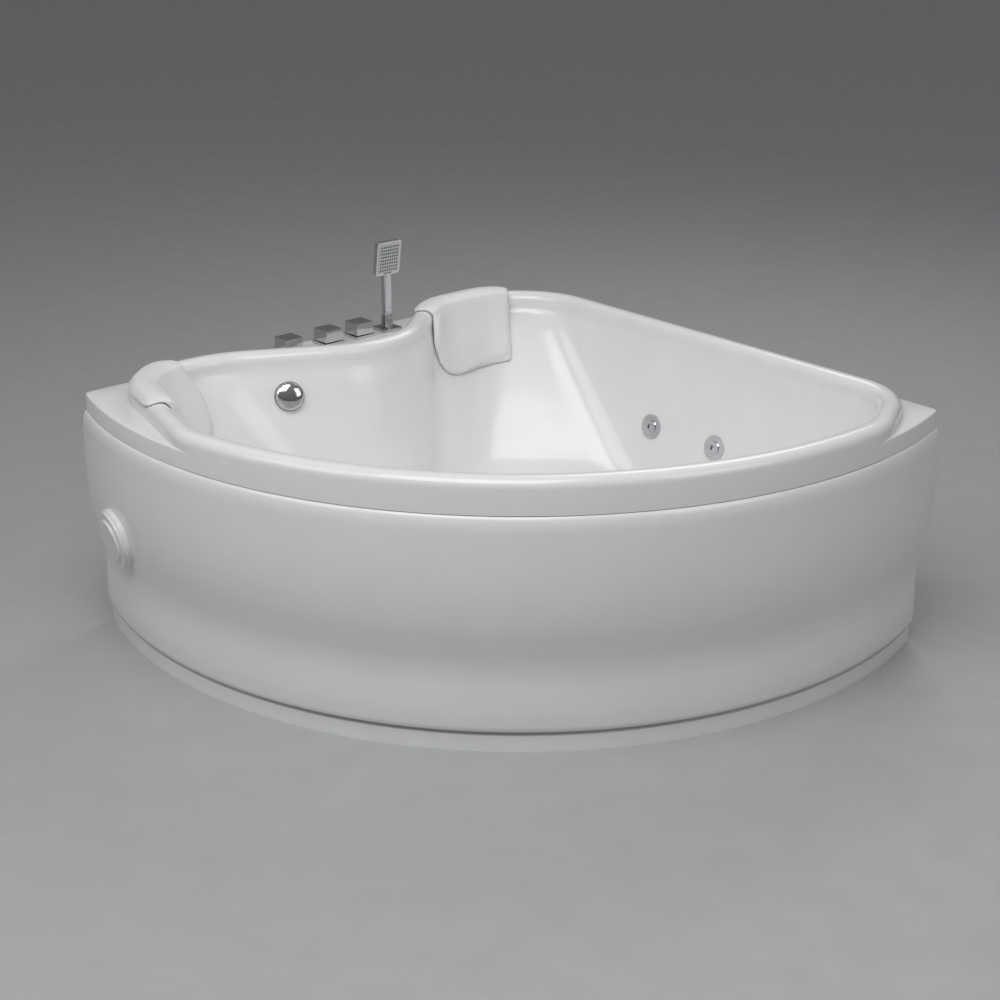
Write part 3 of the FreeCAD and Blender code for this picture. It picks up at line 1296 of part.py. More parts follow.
def deck_nut():
    nut = hexagon(DECK_NUT_HALF, DECK_NUT).cut(Part.makeCylinder(SHANK_R + CLEARANCE, DECK_NUT))
    nut.translate(UP * -(SHELL + DECK_NUT))
    return nut


def shower_holder():
    """Plate and tapered socket for the hand shower, with a shank through the deck."""
    cone = Part.makeCone(HOLDER_R, HOLDER_TOP_R, HOLDER_HEIGHT, UP * HOLDER_PLATE)
    holder = slab(HOLDER_SIDE, HOLDER_SIDE, HOLDER_PLATE, PLATE_EDGE).fuse(cone)
    holder = holder.fuse(rod(SHANK_R, UP * -SHANK_LENGTH, UP * 0))
    return holder.cut(rod(HANDSET_R + RUNNING, UP * HANDSET_FLOOR, UP * HOLDER_TOP))


def lean(shape):
    """Shower head pieces are modelled upright and then leaned towards the basin."""
    leaned = shape.copy()
    leaned.rotate(UP * HEAD_Z, Vector(1, 0, 0), -HEAD_LEAN_ANGLE)
    return leaned


def hand_shower():
    """Stick with a flat upright head; its round foot stands in the holder."""
    stick = slab(STICK_WIDTH, STICK_DEPTH, STICK_LENGTH + FACE_MARGIN / 2, STICK_EDGE)
    stick.translate(UP * HOLDER_TOP)
    head = slab(HEAD_WIDTH, HEAD_HEIGHT, HEAD_THICK, HEAD_EDGE)
    head.rotate(Vector(), Vector(1, 0, 0), -90)
    head.translate(Vector(0, -HEAD_THICK / 2, HEAD_Z + HEAD_HEIGHT / 2))
    return stick.fuse([rod(HANDSET_R, UP * HANDSET_FLOOR, UP * (HOLDER_TOP + STICK_EDGE)), lean(head)])


def shower_face():
    """Nozzle plate on the front of the head."""
    trim = 2 * FACE_MARGIN
    plate = slab(HEAD_WIDTH - trim, HEAD_HEIGHT - trim, FACE_THICK, HEAD_EDGE / 2)
    plate.rotate(Vector(), Vector(1, 0, 0), -90)
    plate.translate(Vector(0, HEAD_THICK / 2, HEAD_Z + HEAD_HEIGHT / 2))
    return lean(plate)


def button_housing():
    """Bezel with a pocket for the air button."""
    bore = BUTTON_R + RUNNING
    floor = BEZEL - 2 * BUTTON_TRAVEL - DRAIN_WALL
    profile = [(0, -SHANK_LENGTH), (SHANK_R, -SHANK_LENGTH), (SHANK_R, 0), (BEZEL_R, 0), (BEZEL_R, BEZEL)]
    return turned(profile + [(bore, BEZEL), (bore, floor), (0, floor)])


def air_button():
    """Round push button with room below it for its travel."""
    return rod(BUTTON_R, UP * (BEZEL - BUTTON_TRAVEL - DRAIN_WALL), UP * (BEZEL + BUTTON_RISE))


nodes["valve_bodies"] = Part.makeCompound([on_deck(valve_body(), place) for place in VALVES])
plates = [on_deck(handle_plate(), place) for place in VALVES]
nodes["deck_plates"] = Part.makeCompound(plates + [on_deck(button_housing(), BUTTON)])
nodes["deck_nuts"] = Part.makeCompound([on_deck(deck_nut(), place) for place in DECK_HOLES + [BUTTON]])
nodes["cold_handle"] = on_deck(handle(), COLD_AT)
nodes["hot_handle"] = on_deck(handle(), HOT_AT)
nodes["diverter_handle"] = on_deck(handle(), DIVERTER_AT)
nodes["shower_holder"] = on_deck(shower_holder(), SHOWER_AT)
nodes["hand_shower"] = on_deck(hand_shower(), SHOWER_AT)
nodes["shower_face"] = on_deck(shower_face(), SHOWER_AT)
nodes["air_button"] = on_deck(air_button(), BUTTON)


# Headrests
def wall_reach(point, inward, z):
    """How far inwards of a point on the rim's outline the wall lies at a height."""
    ray = line(point, point + inward * WALL_LENGTH / 2)
    hits = ray.distToShape(Part.Wire(outline(z)))[1]
    return min((hit[0] - point).dot(inward) for hit in hits)


def pad_station(first, distance):
    """Point on the rim's inner outline and its way into the basin, along from an edge."""
    edges = outline(BASIN_TOP)
    index = first
    while distance > edges[index].Length:
        distance -= edges[index].Length
        index += 1
    turn = edges[index].getParameterByLength(distance)
    run = edges[index].tangentAt(turn)
    return edges[index].valueAt(turn), Vector(-run.y, run.x, 0)


def pad_section(station, share):
    """Section of a headrest: it hangs over the rim and follows the wall below."""
    point, inward = station
    crown = 1 - share ** 2
    thick = PAD_THICK * lerp(PAD_END_SHARE, 1, crown)
    cap = thick * PAD_CAP_SHARE
    low = BASIN_TOP - PAD_DROP
    middle = (BASIN_TOP + low) / 2
    ease = CLEARANCE
    foot = wall_reach(point, inward, low) + PAD_EASE
    waist = wall_reach(point, inward, middle) + PAD_EASE
    slope = math.sqrt(1 / 2) * (thick + cap) / 2

    def at(across, z):
        return point + inward * across + UP * z

    ring = [at(-PAD_HOOK, RIM_Z + ease), at(ease - RIM_EDGE, RIM_Z + ease), at(ease, RIM_Z - RIM_EDGE + ease)]
    ring += [at(PAD_EASE, BASIN_TOP), at(waist, middle), at(foot, low), at(foot + cap / 2, low - cap / 2)]
    ring += [at(foot + cap, low), at(waist + thick + PAD_CROWN * crown, middle)]
    ring += [at(ease + thick, RIM_Z - RIM_EDGE), at(slope - RIM_EDGE / 2, RIM_Z - RIM_EDGE / 2 + slope)]
    ring += [at(-RIM_EDGE, RIM_Z + cap), at(-PAD_HOOK, RIM_Z + cap), at(-PAD_HOOK - cap / 2, RIM_Z + cap / 2)]
    return ring


def headrest(first):
    """Soft pad built along the rim from section to section, thicker in its middle."""
    rings = []
    for step in range(PAD_STATION_COUNT):
        share = 2 * step / (PAD_STATION_COUNT - 1) - 1
        rings.append(pad_section(pad_station(first, PAD_ALONG + share * PAD_WIDTH / 2), share))
    faces = [polygon(rings[0]), polygon(rings[-1])]
    for near, far in zip(rings, rings[1:]):
        for index, point in enumerate(near):
            faces.append(polygon([near[index - 1], point, far[index]]))
            faces.append(polygon([near[index - 1], far[index], far[index - 1]]))
    return closed(faces)


nodes["headrest_back"] = headrest(BACK_PAD_EDGE_INDEX)
nodes["headrest_left"] = headrest(LEFT_PAD_EDGE_INDEX)


os.makedirs("parts", exist_ok=True)
for name, shape in nodes.items():
    shape.exportStep("parts/" + name + ".step")
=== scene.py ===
"""Looks of a corner bathtub with water jets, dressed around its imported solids.

Everything is in metres in the frame of the solids: +Z up, the front towards -Y, and the two
walls of the room behind at 45 degrees, meeting at the back.
"""

import json
import logging
import math
from dataclasses import dataclass
from enum import Enum
from typing import Any, Iterable, Mapping, Sequence

import bmesh
import bpy
from mathutils import Matrix, Vector


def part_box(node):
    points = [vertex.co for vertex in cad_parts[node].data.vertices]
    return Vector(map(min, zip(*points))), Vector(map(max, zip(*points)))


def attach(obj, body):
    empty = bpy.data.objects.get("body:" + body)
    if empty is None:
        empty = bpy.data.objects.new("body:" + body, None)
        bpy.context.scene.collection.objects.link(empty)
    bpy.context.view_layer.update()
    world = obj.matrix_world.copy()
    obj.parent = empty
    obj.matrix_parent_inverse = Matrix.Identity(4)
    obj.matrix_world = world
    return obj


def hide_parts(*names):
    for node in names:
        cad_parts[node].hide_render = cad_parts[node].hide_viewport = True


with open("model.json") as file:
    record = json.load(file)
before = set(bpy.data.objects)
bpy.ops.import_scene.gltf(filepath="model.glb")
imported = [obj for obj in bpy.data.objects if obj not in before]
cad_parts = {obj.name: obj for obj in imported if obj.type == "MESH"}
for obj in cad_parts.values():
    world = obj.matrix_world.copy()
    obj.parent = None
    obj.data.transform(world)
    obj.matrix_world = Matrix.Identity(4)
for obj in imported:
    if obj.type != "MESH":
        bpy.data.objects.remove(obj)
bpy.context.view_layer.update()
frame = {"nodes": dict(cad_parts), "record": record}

LOG = logging.getLogger("corner_bathtub")
ROOT2 = math.sqrt(2)
RIGHT_ANGLE = math.pi / 2
UP = Vector((0, 0, 1))
SHARP_ANGLE = math.radians(32)
PARALLEL = 1e-9

Colour = tuple[float, float, float]
Place = tuple[float, float, float]
Pair = tuple[float, float]
Points = list[Vector]
Ring = list[bmesh.types.BMVert]
Piece = bpy.types.Object


# Shader maths


# A Mix node has sockets of the same name for each kind of data, so colours go by number.
MIX_SHARE, MIX_FIRST, MIX_SECOND, MIX_COLOUR = 0, 6, 7, 2


class Value:
    """A shader socket on which sums are written as Python expressions."""

    def __init__(self, shader: "Shader", socket: bpy.types.NodeSocket) -> None:
        """Keeps the socket and the shader that it belongs to."""
        self.shader = shader
        self.socket = socket

    def _sum(self, operation: str, first: "Value | float", second: "Value | float") -> "Value":
        """Adds a Math node for one operation on two terms."""
        return self.shader.node("ShaderNodeMath", {"operation": operation}, {0: first, 1: second})

    def __add__(self, other: "Value | float") -> "Value":
        """Sum of this value and another."""
        return self._sum("ADD", self, other)

    def __sub__(self, other: "Value | float") -> "Value":
        """This value less another."""
        return self._sum("SUBTRACT", self, other)

    def __mul__(self, other: "Value | float") -> "Value":
        """Product of this value and another."""
        return self._sum("MULTIPLY", self, other)

    def spread(self, zero: float, one: float) -> "Value":
        """Share of the way from a mark that gives 0 to one that gives 1, held between them."""
        marks = {"Value": self, "From Min": zero, "From Max": one}
        return self.shader.node("ShaderNodeMapRange", {"clamp": True}, marks)


class Shader:
    """Node tree of one material, with a surface shader at its end."""

    def __init__(self, name: str) -> None:
        """Makes an empty node material with its surface shader."""
        self.material = bpy.data.materials.new(name)
        self.material.use_nodes = True
        self.tree = self.material.node_tree
        self.bsdf = next(n for n in self.tree.nodes if n.type == "BSDF_PRINCIPLED")

    def node(
        self,
        kind: str,
        settings: Mapping[str, Any] | None = None,
        inputs: Mapping[int | str, Any] | None = None,
        output: int | str = 0,
    ) -> Value:
        """Adds one node of any kind.

        Args:
            kind: type name of the node.
            settings: attributes of the node, set before its sockets.
            inputs: values or links of its sockets, by name or number.
            output: which of its outputs is used.

        Returns:
            The chosen output as a value.
        """
        made = self.tree.nodes.new(kind)
        for name, setting in (settings or {}).items():
            setattr(made, name, setting)
        for key, given in (inputs or {}).items():
            self._feed(made.inputs[key], given)
        return Value(self, made.outputs[output])

    def _feed(self, socket: bpy.types.NodeSocket, given: Any) -> None:
        """Links a value to a socket, or sets a constant on it."""
        if isinstance(given, Value):
            self.tree.links.new(given.socket, socket)
        else:
            socket.default_value = given

    def mix(self, share: Value, first: Colour, second: Colour) -> Value:
        """Blend of two colours, by the share of the second one."""
        ends = {MIX_SHARE: share, MIX_FIRST: (*first, 1.0), MIX_SECOND: (*second, 1.0)}
        return self.node("ShaderNodeMix", {"data_type": "RGBA"}, ends, MIX_COLOUR)

    def surface(self, sockets: Mapping[str, Any]) -> bpy.types.Material:
        """Feeds the surface shader's sockets by name and gives the finished material."""
        for name, given in sockets.items():
            self._feed(self.bsdf.inputs[name], given)
        return self.material


# Finishes


MOTTLE_DETAIL = 4.0
MOTTLE_MARKS = (0.35, 0.65)
MOTTLE_SHARE = 0.6
GRAIN_SHARE = 0.4
COAT_ROUGHNESS = 0.06
PEBBLE_SMOOTHNESS = 0.6
PEBBLE_MARKS = (0.7, 0.1)
BRUSH_STRETCH = (0.08, 0.08, 1.0)
CAST_DETAIL = 6.0
RIPPLE_DETAIL = 2.0


class Grain(Enum):
    """Kinds of fine relief that a finish can have."""

    RIPPLE = "faint ripple of a moulded or painted face"
    PEBBLE = "pebbled soft skin"
    BRUSHED = "fine lines across the piece"
    CAST = "rough cast face"
    CHIPS = "pressed wood chips"


@dataclass(frozen=True)
class Finish:
    """Finish of one material slot: two near tones mottled together over a fine grain."""

    slot: str
    tone: Colour
    shade: Colour
    roughness: float
    wear: float
    grain: Grain
    grain_size: float
    relief: float
    metallic: float = 0.0
    coat: float = 0.0
    sheen: float = 0.0
    mottle_size: float = 0.12

    def material(self) -> bpy.types.Material:
        """Builds the node material of the finish."""
        shader = Shader(self.slot)
        place = shader.node("ShaderNodeTexCoord", output="Object")
        lumps = self._noise(shader, place, self.mottle_size, MOTTLE_DETAIL)
        mottle = lumps.spread(*MOTTLE_MARKS)
        grain = self._grain(shader, place)
        fleck = mottle * MOTTLE_SHARE + grain * GRAIN_SHARE
        rough = (mottle - 0.5) * self.wear + self.roughness
        lift = {"Strength": 1.0, "Distance": self.relief, "Height": grain}
        sockets = {
            "Base Color": shader.mix(fleck, self.tone, self.shade),
            "Roughness": rough,
            "Metallic": self.metallic,
            "Coat Weight": self.coat,
            "Coat Roughness": COAT_ROUGHNESS,
            "Sheen Weight": self.sheen,
            "Normal": shader.node("ShaderNodeBump", None, lift),
        }
        return shader.surface(sockets)

    @staticmethod
    def _noise(shader: Shader, place: Value, size: float, detail: float) -> Value:
        """Soft noise whose lumps have about a given size."""
        inputs = {"Vector": place, "Scale": 1 / size, "Detail": detail}
        return shader.node("ShaderNodeTexNoise", None, inputs)

    def _grain(self, shader: Shader, place: Value) -> Value:
        """Height of the fine grain, from 0 to 1.

        Args:
            shader: node tree to build in.
            place: coordinates on the piece.

        Returns:
            The height.
        """
        if self.grain is Grain.PEBBLE:
            cells = {"Vector": place, "Scale": 1 / self.grain_size}
            cells["Smoothness"] = PEBBLE_SMOOTHNESS
            domes = shader.node("ShaderNodeTexVoronoi", {"feature": "SMOOTH_F1"}, cells)
            return domes.spread(*PEBBLE_MARKS)
        if self.grain is Grain.CHIPS:
            cells = {"Vector": place, "Scale": 1 / self.grain_size, "Randomness": 1.0}
            return shader.node("ShaderNodeTexVoronoi", None, cells, "Color")
        if self.grain is Grain.BRUSHED:
            stretch = {0: place, 1: BRUSH_STRETCH}
            place = shader.node("ShaderNodeVectorMath", {"operation": "MULTIPLY"}, stretch)
        detail = CAST_DETAIL if self.grain is Grain.CAST else RIPPLE_DETAIL
        return self._noise(shader, place, self.grain_size, detail)


FINISHES = (
    Finish("acrylic", (0.83, 0.835, 0.835), (0.80, 0.805, 0.81), 0.20, 0.05,
           Grain.RIPPLE, 0.03, 0.00002, coat=0.25),
    Finish("trim", (0.80, 0.805, 0.80), (0.77, 0.775, 0.775), 0.24, 0.06,
           Grain.RIPPLE, 0.004, 0.00002, coat=0.2),
    Finish("pad", (0.80, 0.80, 0.795), (0.76, 0.76, 0.755), 0.42, 0.10,
           Grain.PEBBLE, 0.0018, 0.00018, sheen=0.12),
    Finish("chrome", (0.66, 0.66, 0.67), (0.60, 0.605, 0.615), 0.07, 0.05,
           Grain.RIPPLE, 0.01, 0.000004, metallic=1.0),
    Finish("holder", (0.56, 0.54, 0.53), (0.49, 0.47, 0.46), 0.14, 0.06,
           Grain.RIPPLE, 0.01, 0.000004, metallic=1.0),
    Finish("face", (0.56, 0.57, 0.58), (0.50, 0.51, 0.52), 0.38, 0.10,
           Grain.CAST, 0.0012, 0.00006),
    Finish("brass", (0.72, 0.55, 0.27), (0.60, 0.43, 0.20), 0.32, 0.16,
           Grain.CAST, 0.0025, 0.0001, metallic=1.0),
    Finish("pipe", (0.76, 0.77, 0.78), (0.71, 0.72, 0.73), 0.38, 0.10,
           Grain.RIPPLE, 0.01, 0.00006),
    Finish("pump", (0.055, 0.055, 0.06), (0.035, 0.035, 0.04), 0.48, 0.12,
           Grain.CAST, 0.0018, 0.00010),
    Finish("motor", (0.16, 0.18, 0.21), (0.12, 0.135, 0.16), 0.36, 0.12,
           Grain.CAST, 0.003, 0.00008, coat=0.2),
    Finish("frame", (0.24, 0.25, 0.26), (0.19, 0.20, 0.21), 0.42, 0.14,
           Grain.CAST, 0.0022, 0.00008),
    Finish("steel", (0.62, 0.62, 0.63), (0.52, 0.52, 0.54), 0.32, 0.12,
           Grain.BRUSHED, 0.0008, 0.00003, metallic=1.0),
    Finish("foot", (0.035, 0.035, 0.035), (0.022, 0.022, 0.022), 0.74, 0.12,
           Grain.CAST, 0.0015, 0.00012),
    Finish("board", (0.58, 0.44, 0.28), (0.40, 0.28, 0.16), 0.70, 0.12,
           Grain.CHIPS, 0.012, 0.0002),
)
FLOOR_PAINT = Finish("studio_floor", (0.44, 0.445, 0.45), (0.41, 0.415, 0.42), 0.55, 0.1,
                     Grain.CAST, 0.02, 0.00005)


# Meshes


class Surface:
    """Mesh under construction, made from rings of points."""

    def __init__(self) -> None:
        """Starts with no points."""
        self.mesh = bmesh.new()

    def ring(self, points: Iterable[Vector]) -> Ring:
        """Adds the points of one ring."""
        return [self.mesh.verts.new(point) for point in points]

    def bridge(self, first: Ring, second: Ring, closed: bool = True) -> None:
        """Joins two rings of as many points by four-sided faces.

        Args:
            first: points of one ring.
            second: points of the other ring, in step with the first.
            closed: whether the last point joins the first one.
        """
        for index in range(0 if closed else 1, len(first)):
            corners = (first[index - 1], first[index], second[index], second[index - 1])
            self.mesh.faces.new(corners)

    def loft(self, rings: Sequence[Ring]) -> None:
        """Joins each ring to the next one."""
        for first, second in zip(rings, rings[1:]):
            self.bridge(first, second)

    def cap(self, rings: Sequence[Ring]) -> None:
        """Closes the first and the last ring by one face each."""
        for ring in (rings[0], rings[-1]):
            self.mesh.faces.new(ring)

    def fill(self, *rings: Ring) -> None:
        """Fills the level area between rings, which may have different numbers of points."""
        edges = []
        for ring in rings:
            for index, point in enumerate(ring):
                pair = (ring[index - 1], point)
                edges.append(self.mesh.edges.get(pair) or self.mesh.edges.new(pair))
        bmesh.ops.triangle_fill(self.mesh, use_beauty=True, use_dissolve=False, edges=edges)

    def piece(self, name: str) -> Piece:
        """Makes a smooth-shaded object of the mesh, linked into the scene."""
        bmesh.ops.recalc_face_normals(self.mesh, faces=self.mesh.faces)
        data = bpy.data.meshes.new(name)
        self.mesh.to_mesh(data)
        self.mesh.free()
        data.shade_smooth()
        data.set_sharp_from_angle(angle=SHARP_ANGLE)
        return placed(name, data)


def placed(name: str, data: bpy.types.ID) -> Piece:
    """Object of some data, linked into the scene."""
    made = bpy.data.objects.new(name, data)
    bpy.context.scene.collection.objects.link(made)
    return made


def turned(
    name: str, profile: Sequence[Pair], base: Vector, axis: Vector, steps: int
) -> Piece:
    """Turns a profile that starts and ends on the axis.

    Args:
        name: name of the piece.
        profile: radius and height pairs; the first and last radius are 0.
        base: place of the profile's zero height.
        axis: way that heights go.
        steps: points around.

    Returns:
        The turned piece.
    """
    turn = UP.rotation_difference(axis).to_matrix()
    surface = Surface()
    rings = []
    for radius, height in profile[1:-1]:
        places = [Vector((x, y, height)) for x, y in circle(radius, steps)]
        rings.append(surface.ring(base + turn @ place for place in places))
    surface.loft(rings)
    for ring, (_, height) in ((rings[0], profile[0]), (rings[-1], profile[-1])):
        tip = surface.mesh.verts.new(base + turn @ Vector((0, 0, height)))
        for index, point in enumerate(ring):
            surface.mesh.faces.new((ring[index - 1], point, tip))
    return surface.piece(name)


def circle(radius: float, steps: int) -> list[Pair]:
    """Points round a circle about zero."""
    angles = [2 * math.pi * step / steps for step in range(steps)]
    return [(radius * math.cos(angle), radius * math.sin(angle)) for angle in angles]


def shares(steps: int) -> list[float]:
    """Even shares from 0 to 1, both included."""
    return [step / steps for step in range(steps + 1)]


def quarter(steps: int) -> list[float]:
    """Angles of a quarter turn, both ends included."""
    return [RIGHT_ANGLE * share for share in shares(steps)]


def settle(piece: Piece) -> None:
    """Replaces a piece's mesh by what its modifiers make of it, and drops them."""
    graph = bpy.context.evaluated_depsgraph_get()
    made = bpy.data.meshes.new_from_object(piece.evaluated_get(graph))
    piece.modifiers.clear()
    old = piece.data
    piece.data = made
    bpy.data.meshes.remove(old)


def cut(piece: Piece, tool: Piece) -> None:
    """Cuts a tool's room out of a piece and removes the tool."""
    hole = piece.modifiers.new("hole", "BOOLEAN")
    hole.operation = "DIFFERENCE"
    hole.solver = "EXACT"
    hole.object = tool
    settle(piece)
    bpy.data.objects.remove(tool)
    piece.data.set_sharp_from_angle(angle=SHARP_ANGLE)


# What the frame says


def joint(name: str) -> Mapping[str, Any]:
    """Row of a joint in the record."""
    return next(row for row in frame["record"]["behaviour"]["joints"] if row["name"] == name)


def middle(node: str) -> Vector:
    """Middle of a node's box."""
    low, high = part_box(node)
    return (low + high) / 2


# Plan outlines


def across(way: Vector) -> Vector:
    """Way to the right of a way in plan."""
    return Vector((way.y, -way.x))


def on_arc(start: Vector, run: Vector, radius: float, centre: Vector) -> Vector:
    """Point where a run from a start inside a circle, by a unit way, leaves the circle."""
    reach = start - centre
    along = reach.dot(run)
    return start + run * (math.sqrt(along**2 + radius**2 - reach.dot(reach)) - along)


def arc(hub: Vector, start: Vector, end: Vector, steps: int) -> Points:
    """Points on the shorter arc about a hub, both ends included."""
    first = start - hub
    turn = math.atan2(first.x * (end - hub).y - first.y * (end - hub).x, first.dot(end - hub))
    return [hub + Matrix.Rotation(turn * share, 2) @ first for share in shares(steps)]


def blend(first: Any, second: Any, share: float) -> Any:
    """Number or vector a share of the way from one to another."""
    return first + (second - first) * share


def smooth(places: Points, steps: int) -> Points:
    """Points on a smooth curve through given places.

    Args:
        places: places that the curve goes through.
        steps: steps between two places.

    Returns:
        The points, both ends included.
    """
    path = [places[0], *places, places[-1]]
    found = []
    for before, start, end, after in zip(path, path[1:], path[2:], path[3:]):
        first, last = (end - before) / 2, (after - start) / 2
        for t in shares(steps)[:-1]:
            found.append(
                start * (2 * t**3 - 3 * t**2 + 1)
                + first * (t**3 - 2 * t**2 + t)
                + end * (3 * t**2 - 2 * t**3)
                + last * (t**3 - t**2)
            )
    return [*found, places[-1]]


@dataclass(frozen=True)
class Outline:
    """Outline in plan, drawn leftwards round: sides with rounded corners, one side an arc."""

    corners: tuple[Vector, ...]
    rounds: tuple[float, ...]
    arc_from: int
    centre: Vector
    radius: float
    bend_steps: int = 12
    side_steps: int = 6
    arc_steps: int = 64

    def edges(self, spread: float = 0.0) -> list[Points]:
        """Each corner's round and then the side after it, all moved outwards.

        Args:
            spread: distance outwards.

        Returns:
            Points of each round and side, both ends included.
        """
        bends = [self._bend(index, spread) for index in range(len(self.corners))]
        found = []
        for index, bend in enumerate(bends):
            after = bends[(index + 1) % len(bends)][0]
            found.append(bend)
            if index == self.arc_from:
                found.append(arc(self.centre, bend[-1], after, self.arc_steps))
            else:
                found.append([blend(bend[-1], after, share) for share in shares(self.side_steps)])
        return found

    def points(self, spread: float = 0.0) -> Points:
        """All points of the outline, each once."""
        return [point for edge in self.edges(spread) for point in edge[:-1]]

    def at(self, z: float, spread: float = 0.0) -> Points:
        """All points of the outline at a height."""
        return [Vector((*point, z)) for point in self.points(spread)]

    def _bend(self, index: int, spread: float) -> Points:
        """Points of the round at one corner.

        Args:
            index: which corner.
            spread: distance outwards.

        Returns:
            Points from the side before the corner to the side after it.
        """
        corner = self.corners[index]
        before = self.corners[index - 1]
        after = self.corners[(index + 1) % len(self.corners)]
        into = (corner - before).normalized()
        away = (after - corner).normalized()
        if index == self.arc_from:
            return self._arc_bend(before, into, across(into), index, spread)
        if index == self.arc_from + 1:
            return self._arc_bend(after, -away, across(away), index, spread)[::-1]
        inward = into.x * away.y - into.y * away.x > 0
        size = self.rounds[index] + (spread if inward else -spread)
        half = into.angle(away) / 2
        both = across(into) + across(away)
        peak = corner + both * (spread / (1 + across(into).dot(across(away))))
        hub = peak + (away - into).normalized() * size / math.cos(half)
        reach = size * math.tan(half)
        return arc(hub, peak - into * reach, peak + away * reach, self.bend_steps)

    def _arc_bend(
        self, far: Vector, run: Vector, normal: Vector, index: int, spread: float
    ) -> Points:
        """Points of the round between a straight side and the arc.

        Args:
            far: other end of the side.
            run: way from there to the corner.
            normal: way outwards from the side.
            index: which corner.
            spread: distance outwards.

        Returns:
            Points from the side to the arc.
        """
        size = self.rounds[index] + spread
        hub = on_arc(far + normal * (spread - size), run, self.radius + spread - size, self.centre)
        outward = (hub - self.centre).normalized()
        return arc(hub, hub + normal * size, hub + outward * size, self.bend_steps)


